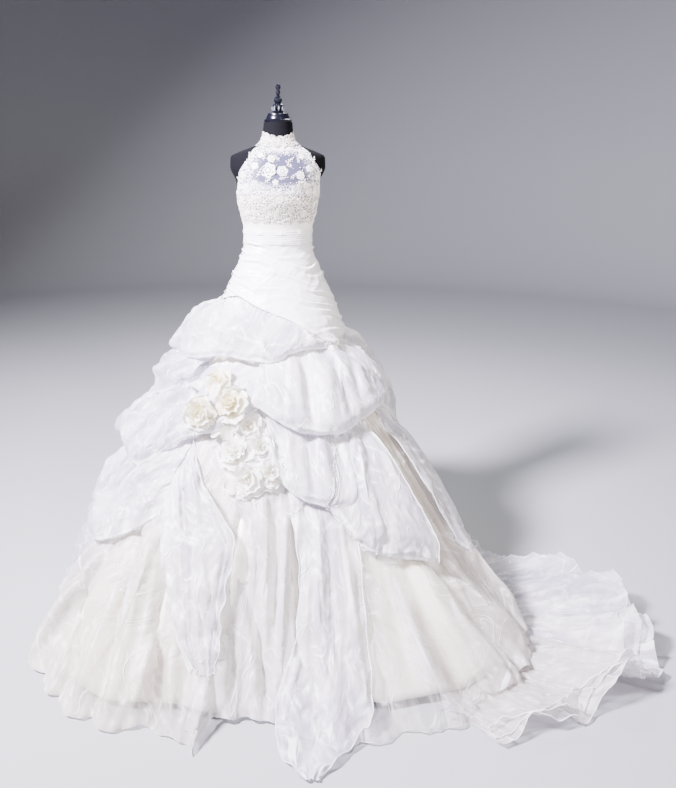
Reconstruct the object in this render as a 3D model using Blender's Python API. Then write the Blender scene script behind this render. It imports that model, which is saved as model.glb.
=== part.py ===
"""A halter wedding dress with picked-up organza drapes and a swept train, on a dress form.

Metres, +Z up, the dress faces -Y. The origin is the centre of the stand's underside.
Angles are degrees round the body: 0 in front, 90 at the wearer's left, 180 at the back.
"""

import math

import bpy
import numpy as np
from mathutils import Vector
from mathutils.bvhtree import BVHTree

# ---- sizes -------------------------------------------------------------------------------
CLOTH = 0.0015            # wall of every cloth piece
SEAM = 0.0004             # what is left open between pieces that touch
EASE = 0.0025             # air between one draped layer and the next
DROP_WAIST = 0.83         # height where the flare starts
REACH_IN = 2.99           # how far a look inward from 3 m out goes, just short of the axis
REACH_DOWN = 2.0          # how high a look down starts
POLE_RADIUS = 0.016
TORSO_FOOT = 0.86         # underside of the dress form

# outer shape of the gown above the dropped waist
GOWN = (
    # height, half width, front depth, back depth
    (0.83, 0.235, 0.225, 0.230),
    (0.90, 0.208, 0.190, 0.200),
    (0.95, 0.190, 0.160, 0.170),
    (1.00, 0.168, 0.135, 0.140),
    (1.05, 0.146, 0.114, 0.115),
    (1.10, 0.126, 0.098, 0.092),
    (1.15, 0.1165, 0.090, 0.077),
    (1.19, 0.1165, 0.090, 0.076),
    (1.25, 0.130, 0.106, 0.080),
    (1.30, 0.139, 0.122, 0.084),
    (1.35, 0.140, 0.122, 0.087),
    (1.41, 0.150, 0.100, 0.088),
    (1.44, 0.140, 0.086, 0.082),
    (1.465, 0.080, 0.066, 0.062),
    (1.48, 0.062, 0.058, 0.056),
    (1.50, 0.058, 0.055, 0.053),
    (1.53, 0.057, 0.054, 0.052),
)

# how far the plain skirt stands out at the floor
HEM = (
    # angle, radius
    (-180, 0.70), (-135, 0.68), (-100, 0.69), (-80, 0.70), (-58, 0.83), (-42, 0.825),
    (-30, 0.765), (-20, 0.74), (0, 0.69), (20, 0.76), (30, 0.80), (44, 0.83), (56, 0.79),
    (70, 0.71), (82, 0.665), (95, 0.65), (135, 0.66), (180, 0.70),
)

TORSO = (
    # height, half width, front depth, back depth
    (0.860, 0.150, 0.120, 0.125),
    (0.868, 0.168, 0.136, 0.142),
    (0.930, 0.172, 0.140, 0.147),
    (1.000, 0.158, 0.126, 0.130),
    (1.070, 0.132, 0.100, 0.096),
    (1.140, 0.112, 0.085, 0.071),
    (1.190, 0.112, 0.085, 0.070),
    (1.250, 0.125, 0.100, 0.074),
    (1.300, 0.134, 0.115, 0.078),
    (1.350, 0.138, 0.112, 0.082),
    (1.400, 0.158, 0.096, 0.084),
    (1.432, 0.157, 0.082, 0.078),
    (1.452, 0.120, 0.068, 0.066),
    (1.470, 0.074, 0.058, 0.056),
    (1.495, 0.053, 0.050, 0.048),
    (1.545, 0.047, 0.045, 0.044),
)

NECK_CAP = (
    # height, radius
    (1.5454, 0.044), (1.552, 0.046), (1.555, 0.040), (1.566, 0.036), (1.573, 0.034), (1.5745, 0.030),
)

FINIAL = (
    # height, radius
    (1.5749, 0.015), (1.580, 0.019), (1.584, 0.010), (1.588, 0.017), (1.602, 0.019), (1.606, 0.010),
    (1.614, 0.014), (1.624, 0.012), (1.632, 0.005), (1.640, 0.008), (1.648, 0.005), (1.656, 0.009),
    (1.665, 0.007), (1.670, 0.002),
)

BASE = (
    # height, radius
    (0.0, 0.184), (0.004, 0.190), (0.014, 0.190), (0.020, 0.180), (0.026, 0.060), (0.050, 0.030),
    (0.056, 0.026),
)

# ---- draped pieces: a row per station round the body ---------------------------------------
# Each station names four heights down the cloth and how far it stands off the plain gown there.

LINING_FRONT = (
    # angle, top, out, upper, out, lower, out, hem, out
    (-89.7, 1.04, -0.010, 0.80, -0.012, 0.30, -0.020, 0.012, -0.020),
    (0, 1.04, -0.010, 0.80, -0.012, 0.30, -0.010, 0.012, 0.000),
    (89.7, 1.04, -0.010, 0.80, -0.012, 0.30, -0.020, 0.012, -0.020),
)
LINING_BACK = (
    (90.3, 1.04, -0.010, 0.80, -0.012, 0.30, -0.020, 0.012, -0.020),
    (180, 1.04, -0.010, 0.80, -0.010, 0.30, -0.010, 0.012, 0.000),
    (269.7, 1.04, -0.010, 0.80, -0.012, 0.30, -0.020, 0.012, -0.020),
)
OVERLAY_LEFT = (
    (-118, 0.78, -0.02, 0.50, 0.000, 0.20, 0.005, 0.030, 0.020),
    (-92, 0.78, -0.02, 0.50, 0.012, 0.20, 0.018, 0.012, 0.035),
    (-60, 0.78, -0.02, 0.50, 0.018, 0.20, 0.024, 0.010, 0.035),
    (-42, 0.78, -0.02, 0.50, 0.018, 0.20, 0.028, 0.010, 0.055),
    (-31, 0.78, -0.02, 0.50, 0.014, 0.20, 0.020, 0.010, 0.055),
    (-25, 0.78, -0.02, 0.50, 0.014, 0.20, 0.020, 0.010, 0.070),
    (-21, 0.78, -0.02, 0.50, 0.014, 0.20, 0.028, 0.010, 0.125),
)
OVERLAY_FRONT = (
    (-23.5, 0.78, -0.02, 0.50, 0.010, 0.20, 0.015, 0.030, 0.005),
    (-10, 0.78, -0.02, 0.50, 0.010, 0.20, 0.016, 0.012, 0.018),
    (-2, 0.78, -0.02, 0.50, 0.010, 0.20, 0.025, 0.010, 0.090),
    (4, 0.78, -0.02, 0.50, 0.010, 0.20, 0.026, 0.009, 0.135),
    (14, 0.78, -0.02, 0.50, 0.012, 0.20, 0.026, 0.009, 0.095),
    (26, 0.78, -0.02, 0.50, 0.012, 0.20, 0.028, 0.010, 0.085),
)
OVERLAY_RIGHT = (
    (21, 0.78, -0.02, 0.50, 0.020, 0.20, 0.040, 0.036, 0.100),
    (36, 0.78, -0.02, 0.50, 0.022, 0.20, 0.045, 0.036, 0.075),
    (46, 0.78, -0.02, 0.50, 0.022, 0.20, 0.045, 0.036, 0.070),
    (60, 0.78, -0.02, 0.50, 0.010, 0.20, 0.024, 0.036, 0.045),
    (90, 0.78, -0.02, 0.50, 0.006, 0.20, 0.012, 0.036, 0.030),
    (106, 0.78, -0.02, 0.50, 0.004, 0.20, 0.012, 0.036, 0.030),
)
OVERLAY_BACK = (
    (100, 0.78, -0.02, 0.50, 0.020, 0.20, 0.030, 0.040, 0.060),
    (140, 0.78, -0.02, 0.50, 0.020, 0.20, 0.040, 0.036, 0.070),
    (190, 0.78, -0.02, 0.50, 0.020, 0.20, 0.045, 0.036, 0.080),
    (225, 0.78, -0.02, 0.50, 0.020, 0.20, 0.040, 0.034, 0.060),
    (246, 0.78, -0.02, 0.50, 0.014, 0.20, 0.030, 0.030, 0.050),
)
LEFT_LOW_POUF = (
    (-122, 0.60, -0.02, 0.48, 0.040, 0.28, 0.055, 0.220, 0.020),
    (-97, 0.60, -0.02, 0.46, 0.060, 0.27, 0.070, 0.200, 0.025),
    (-76, 0.60, -0.02, 0.47, 0.055, 0.31, 0.068, 0.250, 0.030),
    (-60, 0.60, -0.02, 0.50, 0.045, 0.37, 0.055, 0.318, 0.030),
    (-51, 0.60, -0.02, 0.51, 0.035, 0.42, 0.045, 0.370, 0.025),
    (-45, 0.59, -0.02, 0.53, 0.020, 0.46, 0.030, 0.420, 0.020),
)
CENTRE_POUCH = (
    (-13, 0.68, -0.02, 0.645, 0.020, 0.60, 0.030, 0.580, 0.015),
    (-4, 0.68, -0.02, 0.610, 0.030, 0.54, 0.045, 0.505, 0.020),
    (5, 0.68, -0.02, 0.590, 0.035, 0.505, 0.050, 0.465, 0.020),
    (17, 0.68, -0.02, 0.580, 0.035, 0.490, 0.050, 0.450, 0.020),
    (24, 0.68, -0.02, 0.590, 0.028, 0.520, 0.036, 0.480, 0.018),
    (28, 0.67, -0.02, 0.620, 0.020, 0.580, 0.025, 0.560, 0.015),
)
RIGHT_BACK_DRAPE = (
    (44, 0.60, -0.02, 0.52, 0.020, 0.36, 0.030, 0.270, 0.018),
    (60, 0.64, -0.02, 0.50, 0.020, 0.28, 0.024, 0.200, 0.012),
    (80, 0.64, -0.02, 0.48, 0.020, 0.25, 0.022, 0.160, 0.010),
    (104, 0.64, -0.02, 0.48, 0.022, 0.26, 0.028, 0.175, 0.014),
    (136, 0.62, -0.02, 0.50, 0.020, 0.32, 0.040, 0.260, 0.020),
)
RIGHT_DRAPE = (
    (9, 0.478, -0.02, 0.470, 0.015, 0.462, 0.022, 0.455, 0.018),
    (14, 0.560, -0.02, 0.500, 0.035, 0.440, 0.050, 0.410, 0.025),
    (20, 0.650, -0.02, 0.560, 0.040, 0.420, 0.060, 0.350, 0.030),
    (28, 0.680, -0.02, 0.560, 0.045, 0.400, 0.065, 0.325, 0.030),
    (40, 0.670, -0.02, 0.550, 0.045, 0.380, 0.062, 0.305, 0.030),
    (49, 0.640, -0.02, 0.520, 0.038, 0.350, 0.052, 0.275, 0.028),
    (54, 0.600, -0.02, 0.500, 0.025, 0.360, 0.038, 0.290, 0.022),
)
BACK_BUSTLE_LOWER = (
    (100, 0.64, -0.02, 0.56, 0.030, 0.43, 0.045, 0.370, 0.020),
    (150, 0.66, -0.02, 0.54, 0.065, 0.38, 0.095, 0.310, 0.035),
    (195, 0.66, -0.02, 0.54, 0.070, 0.38, 0.100, 0.310, 0.040),
    (240, 0.64, -0.02, 0.55, 0.050, 0.42, 0.060, 0.360, 0.025),
)
LEFT_SWAG_LOWER = (
    (-128, 0.72, -0.02, 0.63, 0.070, 0.55, 0.105, 0.500, 0.050),
    (-99, 0.74, -0.02, 0.62, 0.078, 0.540, 0.156, 0.500, 0.080),
    (-80, 0.76, -0.02, 0.63, 0.075, 0.530, 0.110, 0.480, 0.050),
    (-63, 0.78, -0.02, 0.66, 0.060, 0.550, 0.075, 0.505, 0.032),
    (-46, 0.80, -0.02, 0.71, 0.050, 0.645, 0.060, 0.610, 0.032),
    (-32, 0.80, -0.02, 0.73, 0.040, 0.670, 0.050, 0.640, 0.028),
    (-20, 0.79, -0.02, 0.74, 0.035, 0.700, 0.042, 0.680, 0.026),
    (-12, 0.78, -0.02, 0.755, 0.020, 0.735, 0.028, 0.720, 0.020),
)
BACK_BUSTLE_UPPER = (
    (60, 0.84, -0.02, 0.78, 0.020, 0.70, 0.030, 0.660, 0.015),
    (80, 0.86, -0.02, 0.76, 0.036, 0.635, 0.055, 0.550, 0.018),
    (106, 0.88, -0.02, 0.78, 0.055, 0.65, 0.080, 0.570, 0.035),
    (150, 0.88, -0.02, 0.79, 0.070, 0.66, 0.100, 0.580, 0.040),
    (185, 0.88, -0.02, 0.79, 0.075, 0.67, 0.105, 0.590, 0.040),
    (216, 0.88, -0.02, 0.81, 0.050, 0.72, 0.070, 0.660, 0.030),
)
LEFT_SWAG_UPPER = (
    (-150, 0.83, -0.02, 0.78, 0.060, 0.72, 0.085, 0.650, 0.040),
    (-120, 0.83, -0.02, 0.785, 0.075, 0.73, 0.108, 0.640, 0.050),
    (-98, 0.83, -0.02, 0.79, 0.080, 0.737, 0.120, 0.640, 0.055),
    (-78, 0.82, -0.02, 0.775, 0.055, 0.725, 0.070, 0.685, 0.040),
    (-62, 0.80, -0.02, 0.780, 0.030, 0.755, 0.040, 0.740, 0.030),
)
RIGHT_POUF = (
    (-20, 0.84, -0.02, 0.79, 0.022, 0.74, 0.034, 0.710, 0.025),
    (-8, 0.85, -0.02, 0.78, 0.050, 0.705, 0.062, 0.672, 0.030),
    (8, 0.86, -0.02, 0.77, 0.055, 0.672, 0.066, 0.635, 0.028),
    (21, 0.86, -0.02, 0.77, 0.055, 0.670, 0.062, 0.632, 0.028),
    (33, 0.855, -0.02, 0.77, 0.050, 0.690, 0.058, 0.655, 0.026),
    (50, 0.85, -0.02, 0.77, 0.046, 0.700, 0.052, 0.672, 0.024),
    (66, 0.84, -0.02, 0.765, 0.044, 0.705, 0.046, 0.680, 0.020),
    (78, 0.83, -0.02, 0.780, 0.020, 0.740, 0.025, 0.715, 0.015),
)
HIP_SWAG = (
    (-142, 0.96, -0.02, 0.90, 0.045, 0.84, 0.075, 0.800, 0.050),
    (-120, 0.97, -0.02, 0.90, 0.065, 0.83, 0.105, 0.800, 0.070),
    (-98, 0.975, -0.02, 0.90, 0.075, 0.822, 0.118, 0.795, 0.090),
    (-80, 0.985, -0.02, 0.90, 0.060, 0.815, 0.090, 0.790, 0.065),
    (-66, 0.985, -0.02, 0.90, 0.042, 0.820, 0.065, 0.800, 0.050),
    (-45, 0.975, -0.02, 0.90, 0.030, 0.840, 0.044, 0.820, 0.032),
    (-14, 0.950, -0.02, 0.89, 0.026, 0.835, 0.038, 0.812, 0.026),
    (10, 0.930, -0.02, 0.89, 0.018, 0.855, 0.028, 0.842, 0.020),
    (30, 0.900, -0.02, 0.875, 0.014, 0.850, 0.022, 0.838, 0.016),
    (48, 0.875, -0.02, 0.860, 0.010, 0.845, 0.014, 0.836, 0.010),
)
HIP_FRONT = (
    # angle, top, out, upper, out, lower, out, edge, out
    (-89.7, 1.165, -0.010, 1.10, 0.000, 1.03, 0.001, 0.960, 0.001),
    (-60, 1.165, -0.010, 1.10, 0.001, 1.04, 0.002, 0.985, 0.002),
    (-30, 1.165, -0.010, 1.09, 0.001, 1.02, 0.002, 0.958, 0.002),
    (10, 1.165, -0.010, 1.07, 0.001, 0.98, 0.002, 0.915, 0.002),
    (42, 1.165, -0.010, 1.06, 0.001, 0.94, 0.002, 0.850, 0.002),
    (89.7, 1.165, -0.010, 1.06, 0.000, 0.94, 0.001, 0.855, 0.002),
)
HIP_BACK = (
    (90.3, 1.165, -0.010, 1.06, 0.000, 0.94, 0.001, 0.855, 0.002),
    (180, 1.165, -0.010, 1.07, 0.001, 0.96, 0.003, 0.870, 0.003),
    (269.7, 1.165, -0.010, 1.09, 0.000, 1.02, 0.001, 0.950, 0.001),
)
BODICE_FRONT = (
    (-89.6, 1.310, -0.020, 1.27, -0.020, 1.22, -0.020, 1.180, -0.020),
    (-62, 1.345, -0.020, 1.29, -0.020, 1.22, -0.020, 1.180, -0.020),
    (-42, 1.356, -0.020, 1.29, -0.020, 1.22, -0.020, 1.180, -0.020),
    (-20, 1.343, -0.020, 1.29, -0.020, 1.22, -0.020, 1.180, -0.020),
    (0, 1.322, -0.020, 1.28, -0.020, 1.22, -0.020, 1.180, -0.020),
    (20, 1.343, -0.020, 1.29, -0.020, 1.22, -0.020, 1.180, -0.020),
    (42, 1.356, -0.020, 1.29, -0.020, 1.22, -0.020, 1.180, -0.020),
    (62, 1.345, -0.020, 1.29, -0.020, 1.22, -0.020, 1.180, -0.020),
    (89.6, 1.310, -0.020, 1.27, -0.020, 1.22, -0.020, 1.180, -0.020),
)
BODICE_BACK = (
    (90.4, 1.310, -0.020, 1.27, -0.020, 1.22, -0.020, 1.180, -0.020),
    (130, 1.262, -0.020, 1.23, -0.020, 1.20, -0.020, 1.180, -0.020),
    (180, 1.240, -0.020, 1.22, -0.020, 1.20, -0.020, 1.180, -0.020),
    (230, 1.262, -0.020, 1.23, -0.020, 1.20, -0.020, 1.180, -0.020),
    (269.6, 1.310, -0.020, 1.27, -0.020, 1.22, -0.020, 1.180, -0.020),
)

# ---- long panels: a row per height ---------------------------------------------------------
LEFT_CASCADE = (
    # height, left angle, right angle, out
    (0.600, -53, -45, -0.02),
    (0.500, -45, -33, 0.026),
    (0.440, -42, -24, 0.036),
    (0.380, -39, -19, 0.044),
    (0.270, -33, -20, 0.046),
    (0.180, -29, -20, 0.046),
    (0.120, -25, -20, 0.044),
)
FRONT_CASCADE = (
    (0.480, -3, 17, -0.02),
    (0.400, -2, 17.5, 0.024),
    (0.300, -1, 16, 0.030),
    (0.200, -2, 14, 0.036),
    (0.120, -5, 13, 0.046),
    (0.060, -7.5, 11, 0.070),
    (0.022, -7, 6, 0.140),
    (0.013, -3.2, -1.2, 0.222),
)
HALTER_YOKE = (
    (1.478, -66, 66, -0.02),
    (1.458, -50, 50, -0.02),
    (1.432, -52, 52, -0.02),
    (1.410, -60, 60, -0.02),
    (1.380, -68, 68, -0.02),
    (1.350, -78, 78, -0.02),
    (1.312, -87, 87, -0.02),
)

# ---- the train: a row per station round the skirt ------------------------------------------
TRAIN = (
    # angle, outer radius, lift of the edge
    (27, 0.965, 0.016),
    (35, 1.020, 0.022),
    (44, 1.090, 0.028),
    (51, 1.170, 0.032),
    (58, 1.175, 0.034),
    (66, 1.140, 0.044),
    (72, 1.060, 0.080),
    (77, 0.940, 0.070),
    (83, 0.800, 0.040),
    (90, 0.745, 0.030),
    (104, 0.750, 0.030),
    (130, 0.830, 0.036),
    (170, 0.930, 0.034),
    (200, 0.900, 0.030),
    (224, 0.780, 0.020),
)

FLOWERS = (
    # angle, height, radius, petals
    (-40.4, 0.743, 0.033, 5),
    (-41.0, 0.683, 0.036, 6),
    (-29.2, 0.702, 0.037, 6),
    (-33.1, 0.625, 0.038, 6),
    (-21.1, 0.634, 0.038, 5),
    (-25.1, 0.568, 0.039, 6),
    (-14.9, 0.588, 0.038, 6),
    (-18.6, 0.513, 0.040, 7),
    (-9.7, 0.527, 0.037, 7),
)

BUTTONS = (
    # angle, height, radius
    (180, 1.486, 0.0060),
    (180, 1.222, 0.0055),
    (180, 1.142, 0.0055),
    (180, 1.112, 0.0055),
    (180, 1.082, 0.0055),
    (180, 1.052, 0.0055),
)

COLOURS = {
    # name: colour, roughness, metallic
    "black_lacquer": ((0.012, 0.012, 0.016), 0.35, 0.0),
    "black_jersey": ((0.010, 0.010, 0.014), 0.80, 0.0),
    "crystal_metal": ((0.62, 0.63, 0.66), 0.20, 1.0),
    "beaded_lace": ((0.86, 0.84, 0.82), 0.55, 0.0),
    "satin": ((0.88, 0.87, 0.85), 0.38, 0.0),
    "organza": ((0.90, 0.90, 0.93), 0.45, 0.0),
    "silk_petal": ((0.90, 0.88, 0.80), 0.50, 0.0),
    "covered_button": ((0.88, 0.87, 0.85), 0.40, 0.0),
}


# ---- tables and the plain shape ------------------------------------------------------------
def smooth(at, places, values):
    """Monotone cubic through the rows of a table."""
    places = np.asarray(places, float)
    values = np.asarray(values, float)
    at = np.clip(np.asarray(at, float), places[0], places[-1])
    step = np.diff(places)
    slope = np.diff(values) / step
    tangent = np.empty_like(values)
    tangent[0], tangent[-1] = slope[0], slope[-1]
    before, after = slope[:-1], slope[1:]
    same_way = before * after > 0
    total = np.where(same_way, before + after, 1.0)
    tangent[1:-1] = np.where(same_way, 2 * before * after / total, 0.0)
    cell = np.clip(np.searchsorted(places, at, side="right") - 1, 0, len(step) - 1)
    width = step[cell]
    t = (at - places[cell]) / width
    return (
        values[cell] * (1 + 2 * t) * (1 - t) ** 2
        + values[cell + 1] * t * t * (3 - 2 * t)
        + width * t * (1 - t) * (tangent[cell] * (1 - t) - tangent[cell + 1] * t)
    )


def oval(angle, wide, front, back):
    """Radius of an oval section with its own depth in front and behind."""
    deep = np.where(np.cos(angle) > 0, front, back)
    return 1 / np.hypot(np.sin(angle) / wide, np.cos(angle) / deep)


def section_radius(table, angle, height):
    heights, wide, front, back = np.array(table).T
    return oval(
        angle,
        smooth(height, heights, wide),
        smooth(height, heights, front),
        smooth(height, heights, back),
    )


def gown_radius(angle, height):
    """The plain gown: its table above the dropped waist, a straight flare below."""
    radius = section_radius(GOWN, angle, np.maximum(height, DROP_WAIST))
    angles, radii = np.array(HEM).T
    turned = (np.degrees(angle) + 180) % 360 - 180
    flare = np.clip((DROP_WAIST - height) / DROP_WAIST, 0, 1)
    return radius + (smooth(turned, angles, radii) - radius) * flare


def pleats(across, down, count, depth, grow=1.0, lean=0.0, start=0.0):
    """Soft uneven folds that deepen down the cloth."""
    x = across * count + lean * down + 0.3 * np.sin(6.3 * (1.7 * across + start)) + start
    wave = 0.75 * np.cos(2 * np.pi * x) + 0.25 * np.cos(np.pi * x + 1.3)
    return depth * down**grow * wave


def on_body(angle, radius, height):
    return np.stack([radius * np.sin(angle), -radius * np.cos(angle), height], axis=-1)


# ---- cloth as thin closed walls ------------------------------------------------------------
def grid_faces(rows, columns, ring):
    """Two triangles for each cell, facing away from the body."""
    wrap = columns if ring else columns + 1
    faces = []
    for i in range(rows):
        for j in range(columns):
            a = i * wrap + j
            b = i * wrap + (j + 1) % wrap
            faces += [(a, a + wrap, b + wrap), (a, b + wrap, b)]
    return faces


def rim_of(rows, columns, ring):
    """The border corners in order: one loop for a sheet, two for a ring."""
    wrap = columns if ring else columns + 1
    top = list(range(wrap))
    bottom = [rows * wrap + j for j in range(wrap)]
    if ring:
        return [top, bottom[::-1]]
    right = [i * wrap + columns for i in range(1, rows)]
    left = [i * wrap for i in range(rows - 1, 0, -1)]
    return [top + right + bottom[::-1] + left]


def thicken(grid, wall, ring):
    """Points and faces of the cloth: the grid outside, the same grid moved in behind it."""
    rows, columns = grid.shape[0] - 1, grid.shape[1] - (0 if ring else 1)
    outer = grid.reshape(-1, 3)
    faces = grid_faces(rows, columns, ring)
    corners = outer[np.array(faces)]
    facing = np.cross(corners[:, 1] - corners[:, 0], corners[:, 2] - corners[:, 0])
    normals = np.zeros_like(outer)
    for k in range(3):
        np.add.at(normals, np.array(faces)[:, k], facing)
    normals /= np.linalg.norm(normals, axis=1, keepdims=True) + 1e-12
    count = len(outer)
    points = np.concatenate([outer, outer - wall * normals])
    every = list(faces) + [(a + count, c + count, b + count) for a, b, c in faces]
    for loop in rim_of(rows, columns, ring):
        for a, b in zip(loop, loop[1:] + loop[:1]):
            every += [(a, b, b + count), (a, b + count, a + count)]
    return points, every


class Laid:
    """What is on the form so far, for the next piece to rest on."""

    def __init__(self):
        self.points = []
        self.faces = []
        self.tree = None

    def add(self, points, faces):
        start = len(self.points)
        self.points += [Vector(p) for p in points]
        self.faces += [tuple(start + k for k in face) for face in faces]
        self.tree = BVHTree.FromPolygons(self.points, self.faces, all_triangles=True)

    def outermost(self, samples, upward):
        """How far out, or up, the pile reaches at each sample."""
        found = np.full(len(samples), -np.inf)
        for k, (x, y, z) in enumerate(samples):
            if upward:
                start, way = Vector((x, y, REACH_DOWN)), Vector((0, 0, -1))
            else:
                size = math.hypot(x, y)
                start = Vector((3 * x / size, 3 * y / size, z))
                way = Vector((-x / size, -y / size, 0))
            hit = self.tree.ray_cast(start, way, REACH_DOWN if upward else REACH_IN)[0]
            if hit is not None:
                found[k] = hit.z if upward else math.hypot(hit.x, hit.y)
        return found


def sample_weights(rows, columns, ring, fine=4):
    """Corner numbers and weights of points spread over each triangle of the grid."""
    wrap = columns if ring else columns + 1
    corners, weights, down = [], [], []
    steps = np.linspace(0, 1, fine + 1)
    for i in range(rows):
        for j in range(columns):
            a = i * wrap + j
            b = i * wrap + (j + 1) % wrap
            for s in steps:
                for t in steps:
                    corners.append((a, b, a + wrap, b + wrap))
                    if t >= s:
                        weights.append((1 - t, 0, t - s, s))
                    else:
                        weights.append((1 - s, s - t, 0, t))
                    down.append((i + t) / rows)
    return np.array(corners), np.array(weights), np.array(down)


def settle(grid, pile, ring=False, upward=False, ease=EASE):
    """Moves the cloth out, or up, until it is clear of what is beneath, then sews its top edge on."""
    rows, columns = grid.shape[0] - 1, grid.shape[1] - (0 if ring else 1)
    shape = grid.shape
    points = grid.reshape(-1, 3).copy()
    if upward:
        way = np.tile([0.0, 0.0, 1.0], (len(points), 1))
    else:
        way = points * [1, 1, 0]
        way /= np.linalg.norm(way, axis=1, keepdims=True)
    corners, weights, down = sample_weights(rows, columns, ring)
    gap = 1.25 * CLOTH + SEAM + ease * np.clip(down / 0.25, 0, 1)
    share = (weights**2).sum(axis=1)
    for _ in range(2):
        samples = (points[corners] * weights[..., None]).sum(axis=1)
        target = pile.outermost(samples, upward) + gap
        for _ in range(30):
            samples = (points[corners] * weights[..., None]).sum(axis=1)
            reach = samples[:, 2] if upward else np.hypot(samples[:, 0], samples[:, 1])
            short = np.clip(target - reach, 0, None)
            push = np.zeros(len(points))
            np.maximum.at(push, corners, weights * (short / share)[:, None])
            points += way * push[:, None]
            if short.max() < 1e-5:
                break
    for _ in range(80):
        solid, faces = thicken(points.reshape(shape), CLOTH + SEAM, ring)
        tree = BVHTree.FromPolygons([Vector(p) for p in solid], faces, all_triangles=True)
        touching = tree.overlap(pile.tree)
        if not touching:
            break
        hit = {k % len(points) for a, _ in touching for k in faces[a]}
        points[list(hit)] += 0.0005 * way[list(hit)]
    seam = slice(0, shape[1])
    for _ in range(100):
        closer = points.copy()
        closer[seam] -= 0.0003 * way[seam]
        solid, faces = thicken(closer.reshape(shape), CLOTH + SEAM, ring)
        tree = BVHTree.FromPolygons([Vector(p) for p in solid], faces, all_triangles=True)
        if tree.overlap(pile.tree):
            break
        points = closer
    return points.reshape(shape)


# ---- objects --------------------------------------------------------------------------------
def clear_scene():
    for obj in list(bpy.data.objects):
        bpy.data.objects.remove(obj)


def make_materials():
    made = {}
    for name, (colour, roughness, metallic) in COLOURS.items():
        mat = bpy.data.materials.new(name)
        mat.use_nodes = True
        shader = mat.node_tree.nodes["Principled BSDF"]
        shader.inputs["Base Color"].default_value = (*colour, 1)
        shader.inputs["Roughness"].default_value = roughness
        shader.inputs["Metallic"].default_value = metallic
        mat.diffuse_color = (*colour, 1)
        made[name] = mat
    return made


def make_object(name, points, faces, material, smooth_faces=True):
    mesh = bpy.data.meshes.new(name)
    mesh.from_pydata([tuple(map(float, p)) for p in points], [], faces)
    mesh.materials.append(material)
    mesh.validate()
    for face in mesh.polygons:
        face.use_smooth = smooth_faces
    obj = bpy.data.objects.new(name, mesh)
    dress.objects.link(obj)
    return obj


def make_cloth(name, grid, material, ring=False, keep=True):
    points, faces = thicken(grid, CLOTH, ring)
    make_object(name, points, faces, material)
    if keep:
        pile.add(points, faces)


def capped_rings(rings):
    """Closed body from rings that go upward, with a flat fan at each end."""
    rings = np.array(rings)
    rows, wrap = rings.shape[0], rings.shape[1]
    points = list(rings.reshape(-1, 3))
    faces = []
    for i in range(rows - 1):
        for j in range(wrap):
            a, b = i * wrap + j, i * wrap + (j + 1) % wrap
            faces += [(a, b, b + wrap), (a, b + wrap, a + wrap)]
    foot, head = len(points), len(points) + 1
    points += [rings[0].mean(axis=0), rings[-1].mean(axis=0)]
    last = (rows - 1) * wrap
    for j in range(wrap):
        k = (j + 1) % wrap
        faces += [(foot, k, j), (head, last + j, last + k)]
    return points, faces


def make_turned(name, profile, segments, material):
    angle = np.linspace(0, 2 * np.pi, segments, endpoint=False)
    rings = [on_body(angle, np.full(segments, r), np.full(segments, z)) for z, r in profile]
    points, faces = capped_rings(rings)
    return make_object(name, points, faces, material)


# ---- the pieces ----------------------------------------------------------------------------
def station_grid(table, columns, rows):
    """Angles, heights and offsets of a sheet whose table has a row per station."""
    table = np.array(table, float)
    angle = np.radians(np.linspace(table[0, 0], table[-1, 0], columns + 1))
    places = np.radians(table[:, 0])
    levels = (0.0, 0.3, 0.78, 1.0)
    down = np.linspace(0, 1, rows + 1)
    heights = np.array([smooth(angle, places, table[:, 1 + 2 * k]) for k in range(4)])
    outs = np.array([smooth(angle, places, table[:, 2 + 2 * k]) for k in range(4)])
    height = np.array([smooth(down, levels, heights[:, j]) for j in range(columns + 1)]).T
    out = np.array([smooth(down, levels, outs[:, j]) for j in range(columns + 1)]).T
    return np.tile(angle, (rows + 1, 1)), height, out


def across_down(rows, columns):
    down, across = np.meshgrid(
        np.linspace(0, 1, rows + 1), np.linspace(0, 1, columns + 1), indexing="ij"
    )
    return across, down


def drape(name, table, columns, rows, material, folds, ease=EASE):
    """Cloth hung from its top edge, laid over all that is there already."""
    angle, height, out = station_grid(table, columns, rows)
    across, down = across_down(rows, columns)
    radius = gown_radius(angle, height) + out + pleats(across, down, *folds)
    grid = settle(on_body(angle, radius, height), pile, ease=ease)
    make_cloth(name, grid, material)
    return grid


def panel(name, table, columns, rows, material, folds, ease=EASE):
    """A long panel whose two sides are given at each height."""
    table = np.array(table, float)
    place = np.linspace(0, 1, len(table))
    at = np.linspace(0, 1, rows + 1)
    height, left, right, out = (smooth(at, place, table[:, k]) for k in range(4))
    across, down = across_down(rows, columns)
    angle = np.radians(left[:, None] + (right - left)[:, None] * across)
    height = np.tile(height[:, None], (1, columns + 1))
    radius = gown_radius(angle, height) + out[:, None] + pleats(across, down, *folds)
    grid = settle(on_body(angle, radius, height), pile, ease=ease)
    make_cloth(name, grid, material)
    return grid


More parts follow.
